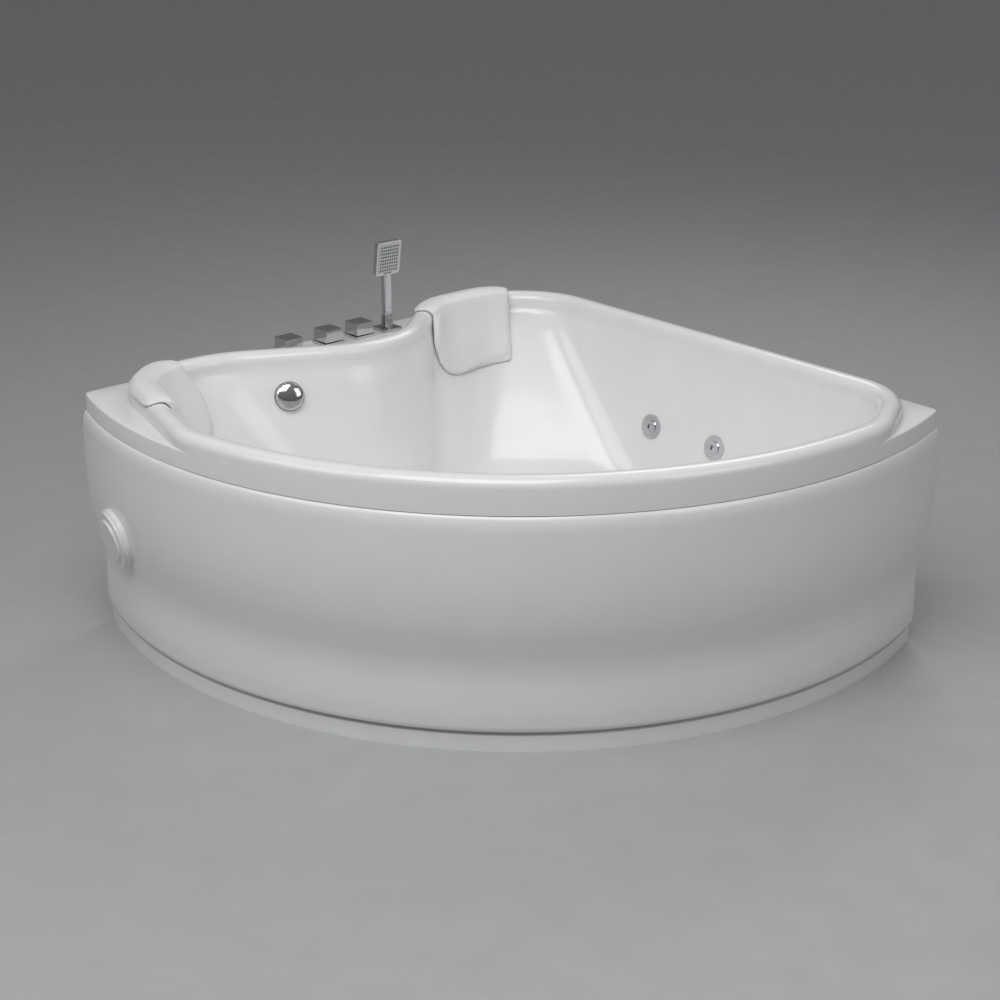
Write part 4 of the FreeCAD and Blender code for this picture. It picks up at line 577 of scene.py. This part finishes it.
@dataclass(frozen=True)
class TubPlan:
    """Driving sizes of the tub in plan, and the outlines that follow from them."""

    wall_length: float = 1.5
    arc_centre: float = 0.531
    wall_gap: float = 0.018
    rim_width: float = 0.058
    apron_bulge: float = 0.01145
    flange_round: float = 0.03
    tip_round: float = 0.02
    wall_draw: float = 0.1
    basin_top: float = 0.64
    wall_ease: float = 0.06
    wall_foot: float = 0.285
    floor_z: float = 0.185
    left_end: float = 0.932
    right_end: float = 0.967
    left_bend: float = 1.114
    right_bend: float = 1.107
    left_turn: float = math.radians(30.4)
    right_turn: float = math.radians(16)
    back_edge: float = 0.19
    bulge_start: float = 0.418
    bulge_peak: float = 0.7
    bulge_end: float = 1.144
    bulge_depth: float = 0.314
    floor_back: float = 0.605
    floor_right: float = 0.789
    floor_left: float = 0.524
    floor_left_bend: float = 1.19
    floor_right_bend: float = 1.115
    floor_heel: float = 1.052
    flat_share: float = 0.86
    front_side: int = 7
    floor_left_places: tuple[Pair, ...] = (
        (-0.11, 0.605), (-0.192, 0.687), (-0.236, 0.809), (-0.424, 0.941),
    )
    flat_centre_place: Pair = (0.1, 1.05)
    rim_rounds: tuple[float, ...] = (
        0.185, 0.185, 0.15, 0.315, 0.3, 0.16, 0.142, 0.2, 0.2, 0.142, 0.14,
    )
    floor_rounds: tuple[float, ...] = (
        0.25, 0.12, 0.25, 0.2, 0.25, 0.15, 0.15, 0.18, 0.18, 0.1, 0.12,
    )

    @property
    def flange_radius(self) -> float:
        """Radius of the front edge of the deck."""
        reach = self.arc_centre
        return math.sqrt(self.wall_length**2 - ROOT2 * reach * self.wall_length + reach**2)

    @property
    def corner_y(self) -> float:
        """Place of the room's corner, with the whole tub centred on the origin."""
        slack = self.flange_round * (ROOT2 - 1)
        return (self.arc_centre + self.flange_radius + self.apron_bulge + slack) / 2

    @property
    def axis(self) -> Vector:
        """Axis of the front arc."""
        return Vector((0, self.corner_y - self.arc_centre))

    def plan(self, off_left: float, off_right: float) -> Vector:
        """Point from its distances off the left wall and off the right wall."""
        across_wall = (off_left - off_right) / ROOT2
        return self.out(across_wall, (off_left + off_right) / ROOT2)

    def out(self, x: float, distance: float) -> Vector:
        """Point from its place across and its distance out from the room's corner."""
        return Vector((x, self.corner_y - distance))

    def polar(self, radius: float, turn: float) -> Vector:
        """Point about the front arc's axis, turned from straight ahead towards the right."""
        return self.axis + Vector((math.sin(turn), -math.cos(turn))) * radius

    def flange(self) -> Outline:
        """Outline of the deck: two wall sides and the front arc."""
        ends = ((0, 0), (0, self.wall_length), (self.wall_length, 0))
        return Outline(
            corners=tuple(self.plan(*end) for end in ends),
            rounds=(self.flange_round, self.tip_round, self.tip_round),
            arc_from=1,
            centre=self.axis,
            radius=self.flange_radius,
            bend_steps=8,
            side_steps=40,
            arc_steps=128,
        )

    def _front_corners(self, left: Pair, right: Pair, inset: float, radius: float) -> Points:
        """Corners from the left end round the front arc to the right end.

        Args:
            left: the left bend's place across and distance out from the room's corner.
            right: the right bend's place and distance.
            inset: distance of the basin off the walls.
            radius: radius of the front arc.

        Returns:
            The five corners.
        """
        turns = (self.out(*left), self.out(*right))
        runs = (
            Vector((math.sin(self.left_turn), -math.cos(self.left_turn))),
            Vector((-math.sin(self.right_turn), -math.cos(self.right_turn))),
        )
        ends = [on_arc(turn, run, radius, self.axis) for turn, run in zip(turns, runs)]
        return [turns[0], *ends, turns[1], self.out(right[0], inset * ROOT2 + right[0])]

    def rim_corners(self) -> Points:
        """Corners of the rim's inner outline, from the back round by the left."""
        inset = self.wall_gap + self.rim_width
        back = self.back_edge * ROOT2 - inset
        left = self.left_end - self.rim_width
        right = self.right_end - self.rim_width
        off_walls = [(back, inset), (inset, back), (inset, self.bulge_start)]
        off_walls += [(self.bulge_depth, self.bulge_peak), (inset, self.bulge_end)]
        corners = [self.plan(*place) for place in off_walls]
        corners.append(self.out(-left, inset * ROOT2 + left))
        bends = ((-left, self.left_bend), (right, self.right_bend))
        return corners + self._front_corners(*bends, inset, self.flange_radius - self.rim_width)

    def floor_corners(self) -> Points:
        """Corners of the basin where its walls would meet the floor, in the same order."""
        inset = self.wall_gap + self.rim_width + self.wall_draw
        corners = [self.plan(self.floor_back * ROOT2 - inset, inset)]
        corners += [self.out(*place) for place in self.floor_left_places]
        corners.append(self.out(-self.floor_left, self.floor_heel))
        radius = self.flange_radius - self.rim_width - self.wall_draw
        left = (-self.floor_left, self.floor_left_bend)
        right = (self.floor_right, self.floor_right_bend)
        return corners + self._front_corners(left, right, inset, radius)

    def basin(self, z: float, flat: float = 0.0) -> Outline:
        """Outline of the basin's inside at a height.

        Args:
            z: height.
            flat: share by which it is drawn in towards the flat of the floor.

        Returns:
            The outline.
        """
        below = max(self.basin_top - z, 0)
        if below < self.wall_ease:
            share = below / self.wall_ease
            below *= share * (2 - share)
        depth = min(below / (self.basin_top - self.floor_z), 1)
        centre = self.out(*self.flat_centre_place)
        corners = []
        for top, foot in zip(self.rim_corners(), self.floor_corners()):
            drawn = blend(centre, foot, self.flat_share)
            corners.append(blend(blend(top, foot, depth), drawn, flat))
        rounds = []
        for top, foot in zip(self.rim_rounds, self.floor_rounds):
            rounds.append(blend(blend(top, foot, depth), foot * self.flat_share, flat))
        rim_radius = self.flange_radius - self.rim_width
        low_radius = rim_radius - self.wall_draw
        radius = blend(blend(rim_radius, low_radius, depth), low_radius * self.flat_share, flat)
        axis = blend(self.axis, blend(centre, self.axis, self.flat_share), flat)
        return Outline(tuple(corners), tuple(rounds), self.front_side, axis, radius)


# Sub-assemblies


@dataclass
class Workshop:
    """What the sub-assemblies share: the tub's plan and the finishes by slot."""

    plan: TubPlan
    materials: dict[str, bpy.types.Material]

    def dress(self, piece: Piece, slot: str, body: str, *nodes: str) -> None:
        """Gives a piece its finish and its body, and the nodes that it stands for.

        Args:
            piece: the piece.
            slot: material slot of its finish.
            body: body that it rides on.
            nodes: nodes that it stands for.
        """
        piece.data.materials.clear()
        piece.data.materials.append(self.materials[slot])
        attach(piece, body)
        if nodes:
            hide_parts(*nodes)
        LOG.info("piece %s rides on %s, finish %s", piece.name, body, slot)


@dataclass
class TubShell:
    """Moulded acrylic shell: basin, rolled rim and hollow underside."""

    shop: Workshop
    rim_z: float = 0.675
    roll: float = 0.025
    wall: float = 0.006
    hollow: float = 0.012
    skirt_z: float = 0.59
    floor_round: float = 0.1
    proud: float = 0.00005
    wall_steps: int = 10
    ease_steps: int = 8
    round_steps: int = 10
    roll_steps: int = 8
    drain_radius: float = 0.0263
    drain_steps: int = 48

    def build(self) -> None:
        """Lofts the shell from ring to ring, over the rim and back underneath."""
        surface = Surface()
        levels = [*self._inside(), *self._rim(), *self._underside()]
        rings = [surface.ring(points) for points in levels]
        surface.loft(rings)
        drain = middle("drain_plug")
        edge = circle(self.drain_radius, self.drain_steps)
        floor_z = self.shop.plan.floor_z
        holes = []
        for ring, z in ((rings[0], floor_z), (rings[-1], floor_z - self.wall)):
            hole = surface.ring(Vector((drain.x + x, drain.y + y, z)) for x, y in edge)
            surface.fill(ring, hole)
            holes.append(hole)
        surface.bridge(*holes)
        self.shop.dress(surface.piece("moulded_shell"), "acrylic", "tub", "tub_shell")

    def _inside(self) -> list[Points]:
        """Rings of the basin's inside, from the floor up to the rim."""
        plan = self.shop.plan
        rings = [self._foot(turn, 0.0) for turn in reversed(quarter(self.round_steps))]
        eased = plan.basin_top - plan.wall_ease
        heights = [blend(plan.wall_foot, eased, share) for share in shares(self.wall_steps)[1:]]
        heights += [blend(eased, plan.basin_top, share) for share in shares(self.ease_steps)[1:]]
        return rings + [plan.basin(z).at(z) for z in heights]

    def _rim(self) -> list[Points]:
        """Rings over the rolled rim and down its outside."""
        plan = self.shop.plan
        top = plan.basin(plan.basin_top)
        low = self.rim_z - self.roll
        outside = plan.rim_width + self.proud
        roll = []
        for turn in quarter(self.roll_steps):
            roll.append((low + self.roll * math.sin(turn), self.roll * (1 - math.cos(turn))))
        levels = roll + [(z, outside - spread) for z, spread in reversed(roll)]
        return [top.at(*level) for level in [*levels, (self.skirt_z, outside)]]

    def _underside(self) -> list[Points]:
        """Rings up into the rim's hollow and down the outside of the basin."""
        plan = self.shop.plan
        top = plan.basin(plan.basin_top)
        inner = plan.rim_width - self.hollow
        ceiling = self.rim_z - self.hollow
        rings = [top.at(self.skirt_z, inner), top.at(ceiling, inner), top.at(ceiling, self.hollow)]
        rings.append(top.at(plan.basin_top, self.hollow))
        for share in shares(self.wall_steps):
            z = blend(plan.basin_top - self.hollow, plan.wall_foot, share)
            rings.append(plan.basin(z).at(z, self.wall))
        return rings + [self._foot(turn, self.wall) for turn in quarter(self.round_steps)[1:]]

    def _foot(self, turn: float, wall: float) -> Points:
        """Ring of the basin's rounded foot, a wall outside of the inner face."""
        plan = self.shop.plan
        z = plan.wall_foot - self.floor_round * math.sin(turn)
        outline = plan.basin(z, 1 - math.cos(turn))
        return outline.at(z - wall * math.sin(turn), wall * math.cos(turn))


@dataclass
class Deck:
    """Flat deck round the rim with a rounded edge and a turned-down skirt."""

    shop: Workshop
    top: float = 0.635
    skirt_z: float = 0.59
    edge: float = 0.005
    wall: float = 0.006
    tuck: float = 0.03
    trim: float = 0.0001
    edge_steps: int = 4

    def build(self) -> None:
        """Makes the deck as one closed skin."""
        plan = self.shop.plan
        flange = plan.flange()
        hole = plan.basin(plan.basin_top)
        surface = Surface()
        levels = []
        for turn in quarter(self.edge_steps):
            z = self.top - self.edge * (1 - math.cos(turn))
            levels.append((z, self.edge * (math.sin(turn) - 1) - self.trim))
        levels += [(self.skirt_z, -self.trim), (self.skirt_z, -self.wall)]
        levels.append((self.top - self.wall, -self.wall))
        rings = [surface.ring(flange.at(*level)) for level in levels]
        surface.loft(rings)
        upper = surface.ring(hole.at(self.top, self.tuck))
        lower = surface.ring(hole.at(self.top - self.wall, self.tuck))
        surface.bridge(upper, lower)
        surface.fill(rings[0], upper)
        surface.fill(rings[-1], lower)
        self.shop.dress(surface.piece("deck_flange"), "acrylic", "tub")


@dataclass
class Apron:
    """Bowed front panel with a rolled lip at the top and a round hole for the hatch."""

    shop: Workshop
    face_places: tuple[Pair, ...] = (
        (0.064, -0.0262), (0.1, -0.0250), (0.14, -0.0262), (0.18, -0.0272),
        (0.22, -0.0235), (0.26, -0.0145), (0.313, -0.0018), (0.375, 0.0068),
        (0.44, 0.0105), (0.5, 0.0111), (0.55, 0.0106),
    )
    face_steps: int = 5
    foot_z: float = 0.052
    foot_in: float = 0.0045
    foot_bulge: float = 0.001
    top_z: float = 0.5885
    lip: float = 0.05
    lip_deep: float = 0.0125
    lip_steps: int = 10
    wall: float = 0.005
    heel_radius: float = 1.124
    wall_gap: float = 0.003
    steps: int = 160
    hatch_radius: float = 0.0783
    hatch_reach: float = 0.04
    hatch_steps: int = 96

    def build(self) -> None:
        """Turns the profile about the front arc's axis and cuts the hatch hole."""
        surface = Surface()
        rows = [surface.ring(self._row(radius, z)) for radius, z in self._profile()]
        for index, row in enumerate(rows):
            surface.bridge(rows[index - 1], row, closed=False)
        for end in (0, -1):
            surface.mesh.faces.new([row[end] for row in rows])
        panel = surface.piece("bowed_apron")
        reach, radius = self.hatch_reach, self.hatch_radius
        profile = ((0.0, -reach), (radius, -reach), (radius, reach), (0.0, reach))
        way = Vector(joint("hatch_pull")["axis"]).normalized()
        cut(panel, turned("hatch_hole", profile, middle("hatch_collar"), way, self.hatch_steps))
        self.shop.dress(panel, "acrylic", "tub", "front_apron")

    def _row(self, radius: float, z: float) -> Points:
        """Points on one level of the panel, from the left wall to the right wall."""
        plan = self.shop.plan
        reach = (self.wall_gap * ROOT2 - plan.arc_centre) / radius / ROOT2
        end = RIGHT_ANGLE / 2 - math.asin(reach)
        turns = [end * (2 * share - 1) for share in shares(self.steps)]
        return [Vector((*plan.polar(radius, turn), z)) for turn in turns]

    def _profile(self) -> list[Pair]:
        """Radius and height pairs round the panel's section."""
        face = self._face(0.0)
        back = self._face(self.wall)
        foot = Vector((face[0].x - self.foot_in, self.foot_z))
        round_foot = (foot + face[0]) / 2 + Vector((self.foot_bulge, -self.foot_bulge))
        inner = Vector((face[-1].x - self.lip, self.top_z))
        floor = self.foot_z + self.wall
        section = [foot, round_foot, *face]
        section += [inner, inner - Vector((0, self.wall)), *back[::-1]]
        section += [Vector((back[0].x, floor)), Vector((self.heel_radius, floor))]
        section.append(Vector((self.heel_radius, self.foot_z)))
        return [(point.x, point.y) for point in section]

    def _face(self, inset: float) -> Points:
        """Points up the panel's section and over the rolled lip, drawn in by an inset.

        Args:
            inset: distance inwards.

        Returns:
            Points of radius and height.
        """
        edge = self.shop.plan.flange_radius - inset
        face = smooth([Vector((edge + out, z)) for z, out in self.face_places], self.face_steps)
        last = face[-1]
        deep = self.lip_deep - inset
        rise = self.top_z - inset - last.y
        for turn in quarter(self.lip_steps)[1:]:
            face.append(last + Vector((deep * (math.cos(turn) - 1), rise * math.sin(turn))))
        return face


class PadPlace(Enum):
    """Where a headrest hangs: the corner of the rim after which its middle is measured."""

    BACK = 1
    LEFT = 5


@dataclass
class Headrest:
    """Soft pad that hangs over the rim, swelled as a filled skin."""

    shop: Workshop
    place: PadPlace
    node: str
    name: str
    along: float = 0.191
    width: float = 0.31
    thick: float = 0.022
    crown: float = 0.008
    drop: float = 0.135
    hook: float = 0.056
    rim_z: float = 0.675
    roll: float = 0.025
    roll_edge: float = 0.0147
    ease: float = 0.002
    end_share: float = 0.62
    edge_share: float = 0.6
    corner_share: float = 0.24
    end_lift: float = 0.045
    hook_draw: float = 0.012
    cap_share: float = 0.7
    slope_share: float = 0.6
    toe_shares: Pair = (0.5, 0.45)
    shoulder_share: float = 0.3
    crest: float = 0.006
    flap_share: float = 0.7
    brink_share: float = 0.85
    tip_shares: Pair = (0.3, 0.4)
    skew: float = 0.0
    rim_reach: Pair = (1.0, 1.0)
    foot_reach: Pair = (1.0, 1.0)
    path_edges: int = 6
    slack: float = 0.01
    voxel: float = 0.004
    smoothing: int = 14
    smooth_factor: float = 0.5
    pressure: float = 4.0
    frames: int = 20
    swell: float = 0.003
    hold_from: float = -0.1
    hold_span: float = 0.4
    stations: int = 56
    fill: float = 0.85

    def build(self) -> None:
        """Lofts the pad along the rim and swells it."""
        surface = Surface()
        rings = [surface.ring(self._section(2 * share - 1)) for share in shares(self.stations)]
        surface.loft(rings)
        surface.cap(rings)
        pad = surface.piece(self.name)
        skin = pad.modifiers.new("skin", "REMESH")
        skin.mode = "VOXEL"
        skin.voxel_size = self.voxel
        settle(pad)
        self._swell(pad)
        pad.data.shade_smooth()
        soften = pad.modifiers.new("soften", "SMOOTH")
        soften.factor = self.smooth_factor
        soften.iterations = self.smoothing
        settle(pad)
        fine = pad.modifiers.new("fine", "SUBSURF")
        fine.levels = fine.render_levels = 1
        self.shop.dress(pad, "pad", "tub", self.node)

    def _swell(self, pad: Piece) -> None:
        """Fills the skin with pressure and keeps it off the rim and the wall behind it."""
        before = [vertex.co.copy() for vertex in pad.data.vertices]
        ways = [vertex.normal.copy() for vertex in pad.data.vertices]
        cloth = pad.modifiers.new("filling", "CLOTH")
        cloth.settings.use_pressure = True
        cloth.settings.uniform_pressure_force = self.pressure
        cloth.settings.effector_weights.gravity = 0
        scene = bpy.context.scene
        for step in range(1, self.frames + 1):
            scene.frame_set(step)
        settle(pad)
        scene.frame_set(1)
        _, inward = self._station(0.0)
        free = (Vector((*inward, 0)) + UP).normalized()
        for vertex, start, way in zip(pad.data.vertices, before, ways):
            move = vertex.co - start
            if move.length > self.swell:
                move = move.normalized() * self.swell
            hold = (way.dot(free) - self.hold_from) / self.hold_span
            vertex.co = start + move * min(max(hold, 0), 1)

    def _station(self, share: float) -> tuple[Vector, Vector]:
        """Point on the rim's inner outline and its way into the basin.

        Args:
            share: place along the pad, from -1 to 1.

        Returns:
            The point and the way.
        """
        plan = self.shop.plan
        edges = plan.basin(plan.basin_top).edges()
        # Each corner has two edges: its round and the side after it.
        first = 2 * self.place.value
        path = [point for edge in edges[first : first + self.path_edges] for point in edge[:-1]]
        distance = self.along + share * self.width / 2
        for start, end in zip(path, path[1:]):
            run = end - start
            if distance <= run.length:
                way = run.normalized()
                return start + way * distance, -across(way)
            distance -= run.length
        raise ValueError("the pad runs past its part of the rim")

    def _wall_reach(self, point: Vector, inward: Vector, z: float) -> float:
        """How far inwards of a point on the rim the wall lies at a height."""
        found = []
        ring = self.shop.plan.basin(z).points()
        for index, end in enumerate(ring):
            start = ring[index - 1] - point
            run = end - ring[index - 1]
            scale = inward.x * run.y - inward.y * run.x
            if abs(scale) < PARALLEL:
                continue
            share = (start.x * inward.y - start.y * inward.x) / scale
            reach = (start.x * run.y - start.y * run.x) / scale
            if 0 <= share <= 1 and reach > -self.slack:
                found.append(reach)
        return min(found)

    def _over_rim(self, length: float, lift: float) -> Pair:
        """Distance out and height of a place over the rim, by its way outwards and its lift."""
        flat = self.shop.plan.rim_width - self.roll
        turn = max(length - flat, 0.0) / self.roll
        out = min(length, flat) + (self.roll + lift) * math.sin(turn)
        return out, self.rim_z - self.roll + (self.roll + lift) * math.cos(turn)

    def _section(self, share: float) -> Points:
        """Section of the pad at a place along it.

        Args:
            share: place along the pad, from -1 to 1.

        Returns:
            Points round the section.
        """
        near_end = min(1.0, (1 - abs(share)) / self.corner_share)
        rounding = math.sqrt(1 - (1 - near_end) ** 2)
        crown = 1 - share**2
        thick = self.thick * blend(self.end_share, 1.0, math.sqrt(max(crown, 0)))
        thick *= blend(self.edge_share, 1.0, rounding)
        top = self.shop.plan.basin_top
        low = top - self.drop - self.skew * share + self.end_lift * (1 - rounding)
        end = 1 if share > 0 else 0
        below, below_way = self._station(share * self.foot_reach[end])
        above, above_way = self._station(share * self.rim_reach[end])
        mid = (top + low) / 2
        foot = self._wall_reach(below, below_way, low) + self.ease
        waist = self._wall_reach(below, below_way, mid) + self.ease

        def on_wall(reach: float, z: float) -> Vector:
            """Place off the wall below."""
            return Vector((*(below + below_way * reach), z))

        def by_rim(reach: float, z: float) -> Vector:
            """Place inside or over the rim."""
            return Vector((*(above + above_way * reach), z))

        def over(length: float, lift: float) -> Vector:
            """Place over the rim, at a way outwards and a lift off it."""
            out, z = self._over_rim(length, self.ease + lift)
            return by_rim(-out, z)

        hook = self.hook - self.hook_draw * (1 - rounding)
        cap = thick * self.cap_share
        slope = thick * self.slope_share
        edge = self.roll_edge
        flap = blend(edge, hook, self.flap_share)
        toe_out, toe_drop = (cap * part for part in self.toe_shares)
        tip_out, tip_lift = (cap * part for part in self.tip_shares)
        shoulder = edge * self.shoulder_share
        back = [over(length, 0.0) for length in (hook, flap, edge)]
        back += [by_rim(self.ease, self.rim_z - edge), by_rim(self.ease, top)]
        back += [on_wall(waist, mid), on_wall(foot, low)]
        front = [
            on_wall(foot + toe_out, low - toe_drop),
            on_wall(foot + cap, low),
            on_wall(waist + thick + self.crown * crown, mid),
            by_rim(self.ease + thick, self.rim_z - edge),
            by_rim(slope - shoulder, self.rim_z - shoulder + slope),
            over(edge + self.crest, cap),
            over(flap, cap),
            over(hook, cap * self.brink_share),
            over(hook + tip_out, tip_lift),
        ]
        return back + front


@dataclass
class OverflowKnob:
    """Domed turn knob of the overflow, with a smooth crown and a rolled edge."""

    shop: Workshop
    radius: float = 0.037
    rise: float = 0.017
    rim: float = 0.005
    edge: float = 0.002
    under: float = 0.005
    stem_radius: float = 0.005
    stem: float = 0.026
    dome_power: float = 0.8
    steps: int = 96
    dome_steps: int = 16

    def build(self) -> None:
        """Turns the knob about its own axis."""
        low, brim = self.under, self.under + self.rim
        profile = [(0.0, -self.stem), (self.stem_radius, -self.stem), (self.stem_radius, low)]
        profile += [(self.radius - self.edge, low), (self.radius, low + self.edge)]
        profile.append((self.radius, brim))
        rise = self.rise - self.rim
        for turn in quarter(self.dome_steps)[1:-1]:
            lift = rise * math.sin(turn) ** self.dome_power
            profile.append((self.radius * math.cos(turn), brim + lift))
        profile.append((0.0, low + self.rise))
        row = joint("knob_turn")
        axis = Vector(row["axis"]).normalized()
        knob = turned("overflow_dome", profile, Vector(row["pos_m"]), axis, self.steps)
        self.shop.dress(knob, "chrome", "knob", "overflow_knob")


@dataclass
class ShowerNozzles:
    """Rows of small spray nozzles on the hand shower's face."""

    shop: Workshop
    rows: int = 8
    columns: int = 8
    row_pitch: float = 0.0096
    column_pitch: float = 0.0078
    radius: float = 0.0021
    rise: float = 0.0012
    steps: int = 12
    lean: float = math.radians(8)
    section: tuple[Pair, ...] = ((1.0, -0.3), (1.0, 0.5), (0.7, 1.0), (0.35, 0.7))

    def build(self) -> None:
        """Sets one mesh of nozzles on the face, square to it."""
        way = self._facing()
        side = Vector((-way.y, way.x, 0)).normalized()
        up = way.cross(side).normalized()
        centre = middle("shower_face")
        corners = frame["nodes"]["shower_face"].data.vertices
        reach = max((Vector(corner.co) - centre).dot(way) for corner in corners)
        surface = Surface()
        for row in range(self.rows):
            for column in range(self.columns):
                level = up * (row - (self.rows - 1) / 2) * self.row_pitch
                place = level + side * (column - (self.columns - 1) / 2) * self.column_pitch
                self._nozzle(surface, centre + way * reach + place, way, side, up)
        self.shop.dress(surface.piece("spray_nozzles"), "foot", "shower")

    def _facing(self) -> Vector:
        """Way that the face looks: towards the basin and a little down."""
        level = Vector((1, -1, 0)).normalized()
        return level * math.cos(self.lean) - UP * math.sin(self.lean)

    def _nozzle(
        self, surface: Surface, base: Vector, way: Vector, side: Vector, up: Vector
    ) -> None:
        """Adds one closed nozzle.

        Args:
            surface: mesh to add to.
            base: its middle on the face.
            way: way that it points.
            side: way across the face.
            up: way up the face.
        """
        rings = []
        for size, height in self.section:
            lift = base + way * self.rise * height
            spokes = circle(self.radius * size, self.steps)
            rings.append(surface.ring(lift + side * x + up * y for x, y in spokes))
        surface.loft(rings)
        surface.cap(rings)


@dataclass
class Fittings:
    """Carried-over solids, which keep their shape and get their finishes."""

    shop: Workshop

    def dress(self) -> None:
        """Gives every node that is still shown the finish of its slot."""
        for row in frame["record"]["subparts"]:
            node = frame["nodes"][row["node"]]
            if node.hide_render:
                continue
            material = self.shop.materials[row["material_slot"]]
            if node.material_slots:
                for slot in node.material_slots:
                    slot.material = material
            else:
                node.data.materials.append(material)
            LOG.info("node %s has the finish %s", row["node"], row["material_slot"])


@dataclass(frozen=True)
class Lamp:
    """Square soft lamp, with the length of its side and its power in watts."""

    name: str
    place: Place
    aim: Place
    size: float
    power: float

    def build(self) -> None:
        """Sets the lamp and turns it to what it lights."""
        data = bpy.data.lights.new(self.name, "AREA")
        data.size = self.size
        data.energy = self.power
        lamp = placed(self.name, data)
        lamp.location = self.place
        way = Vector(self.aim) - Vector(self.place)
        lamp.rotation_euler = way.to_track_quat("-Z", "Y").to_euler()


@dataclass
class Studio:
    """Plain grey floor, soft light and the camera."""

    floor_size: float = 400.0
    sky_low: Colour = (0.25, 0.25, 0.26)
    sky_high: Colour = (0.9, 0.91, 0.93)
    sky_marks: Pair = (0.0, 0.7)
    sky_strength: float = 0.28
    camera_place: Place = (0.2677, -4.5827, 2.0951)
    camera_yaw: float = math.radians(3.664)
    camera_pitch: float = math.radians(18.34)
    camera_lens: float = 67.3
    camera_shift: float = -0.1
    lamps: tuple[Lamp, ...] = (
        Lamp("key_light", (-0.5, -2.6, 4.2), (0.0, -0.4, 0.4), 2.8, 98.0),
        Lamp("left_light", (-3.0, -2.4, 3.4), (0.0, -0.2, 0.4), 2.2, 30.0),
        Lamp("right_light", (3.4, -2.6, 3.0), (0.1, -0.2, 0.4), 2.2, 24.0),
        Lamp("back_light", (1.0, 2.6, 3.4), (0.0, 0.2, 0.6), 2.0, 30.0),
    )

    def build(self) -> None:
        """Lays the floor and sets lamps, sky and camera."""
        self._floor()
        self._sky()
        for lamp in self.lamps:
            lamp.build()
        self._camera()
        bpy.context.scene.view_settings.view_transform = "Standard"

    def _floor(self) -> None:
        """Lays a wide floor under the feet."""
        half = self.floor_size / 2
        surface = Surface()
        corners = ((-half, -half), (half, -half), (half, half), (-half, half))
        surface.mesh.faces.new(surface.ring(Vector((x, y, 0.0)) for x, y in corners))
        floor = surface.piece("studio_floor")
        floor.data.materials.append(FLOOR_PAINT.material())

    def _sky(self) -> None:
        """Sets a soft sky, brighter overhead."""
        world = bpy.data.worlds.new("studio_sky")
        world.use_nodes = True
        bpy.context.scene.world = world
        tree = world.node_tree
        place = tree.nodes.new("ShaderNodeTexCoord")
        parts = tree.nodes.new("ShaderNodeSeparateXYZ")
        ramp = tree.nodes.new("ShaderNodeValToRGB")
        tones = (self.sky_low, self.sky_high)
        for element, mark, tone in zip(ramp.color_ramp.elements, self.sky_marks, tones):
            element.position = mark
            element.color = (*tone, 1.0)
        glow = tree.nodes["Background"]
        glow.inputs["Strength"].default_value = self.sky_strength
        tree.links.new(place.outputs["Generated"], parts.inputs[0])
        tree.links.new(parts.outputs["Z"], ramp.inputs["Fac"])
        tree.links.new(ramp.outputs["Color"], glow.inputs["Color"])

    def _camera(self) -> None:
        """Sets the camera at the viewing angle of the photograph."""
        data = bpy.data.cameras.new("camera")
        data.lens = self.camera_lens
        data.shift_y = self.camera_shift
        camera = placed("camera", data)
        camera.location = self.camera_place
        camera.rotation_euler = (RIGHT_ANGLE - self.camera_pitch, 0.0, self.camera_yaw)
        bpy.context.scene.camera = camera


def main() -> None:
    """Builds the tub's pieces in order and sets the studio round them."""
    logging.basicConfig(level=logging.INFO, format="%(message)s")
    shop = Workshop(TubPlan(), {finish.slot: finish.material() for finish in FINISHES})
    TubShell(shop).build()
    Deck(shop).build()
    Apron(shop).build()
    back_pad = {"skew": 0.012, "foot_reach": (1.0, 1.25)}
    Headrest(shop, PadPlace.BACK, "headrest_back", "back_cushion", **back_pad).build()
    left_pad = {"rim_reach": (1.15, 1.0), "foot_reach": (1.38, 1.0)}
    Headrest(shop, PadPlace.LEFT, "headrest_left", "left_cushion", **left_pad).build()
    OverflowKnob(shop).build()
    ShowerNozzles(shop).build()
    Fittings(shop).dress()
    Studio().build()


if __name__ == "__main__":
    main()
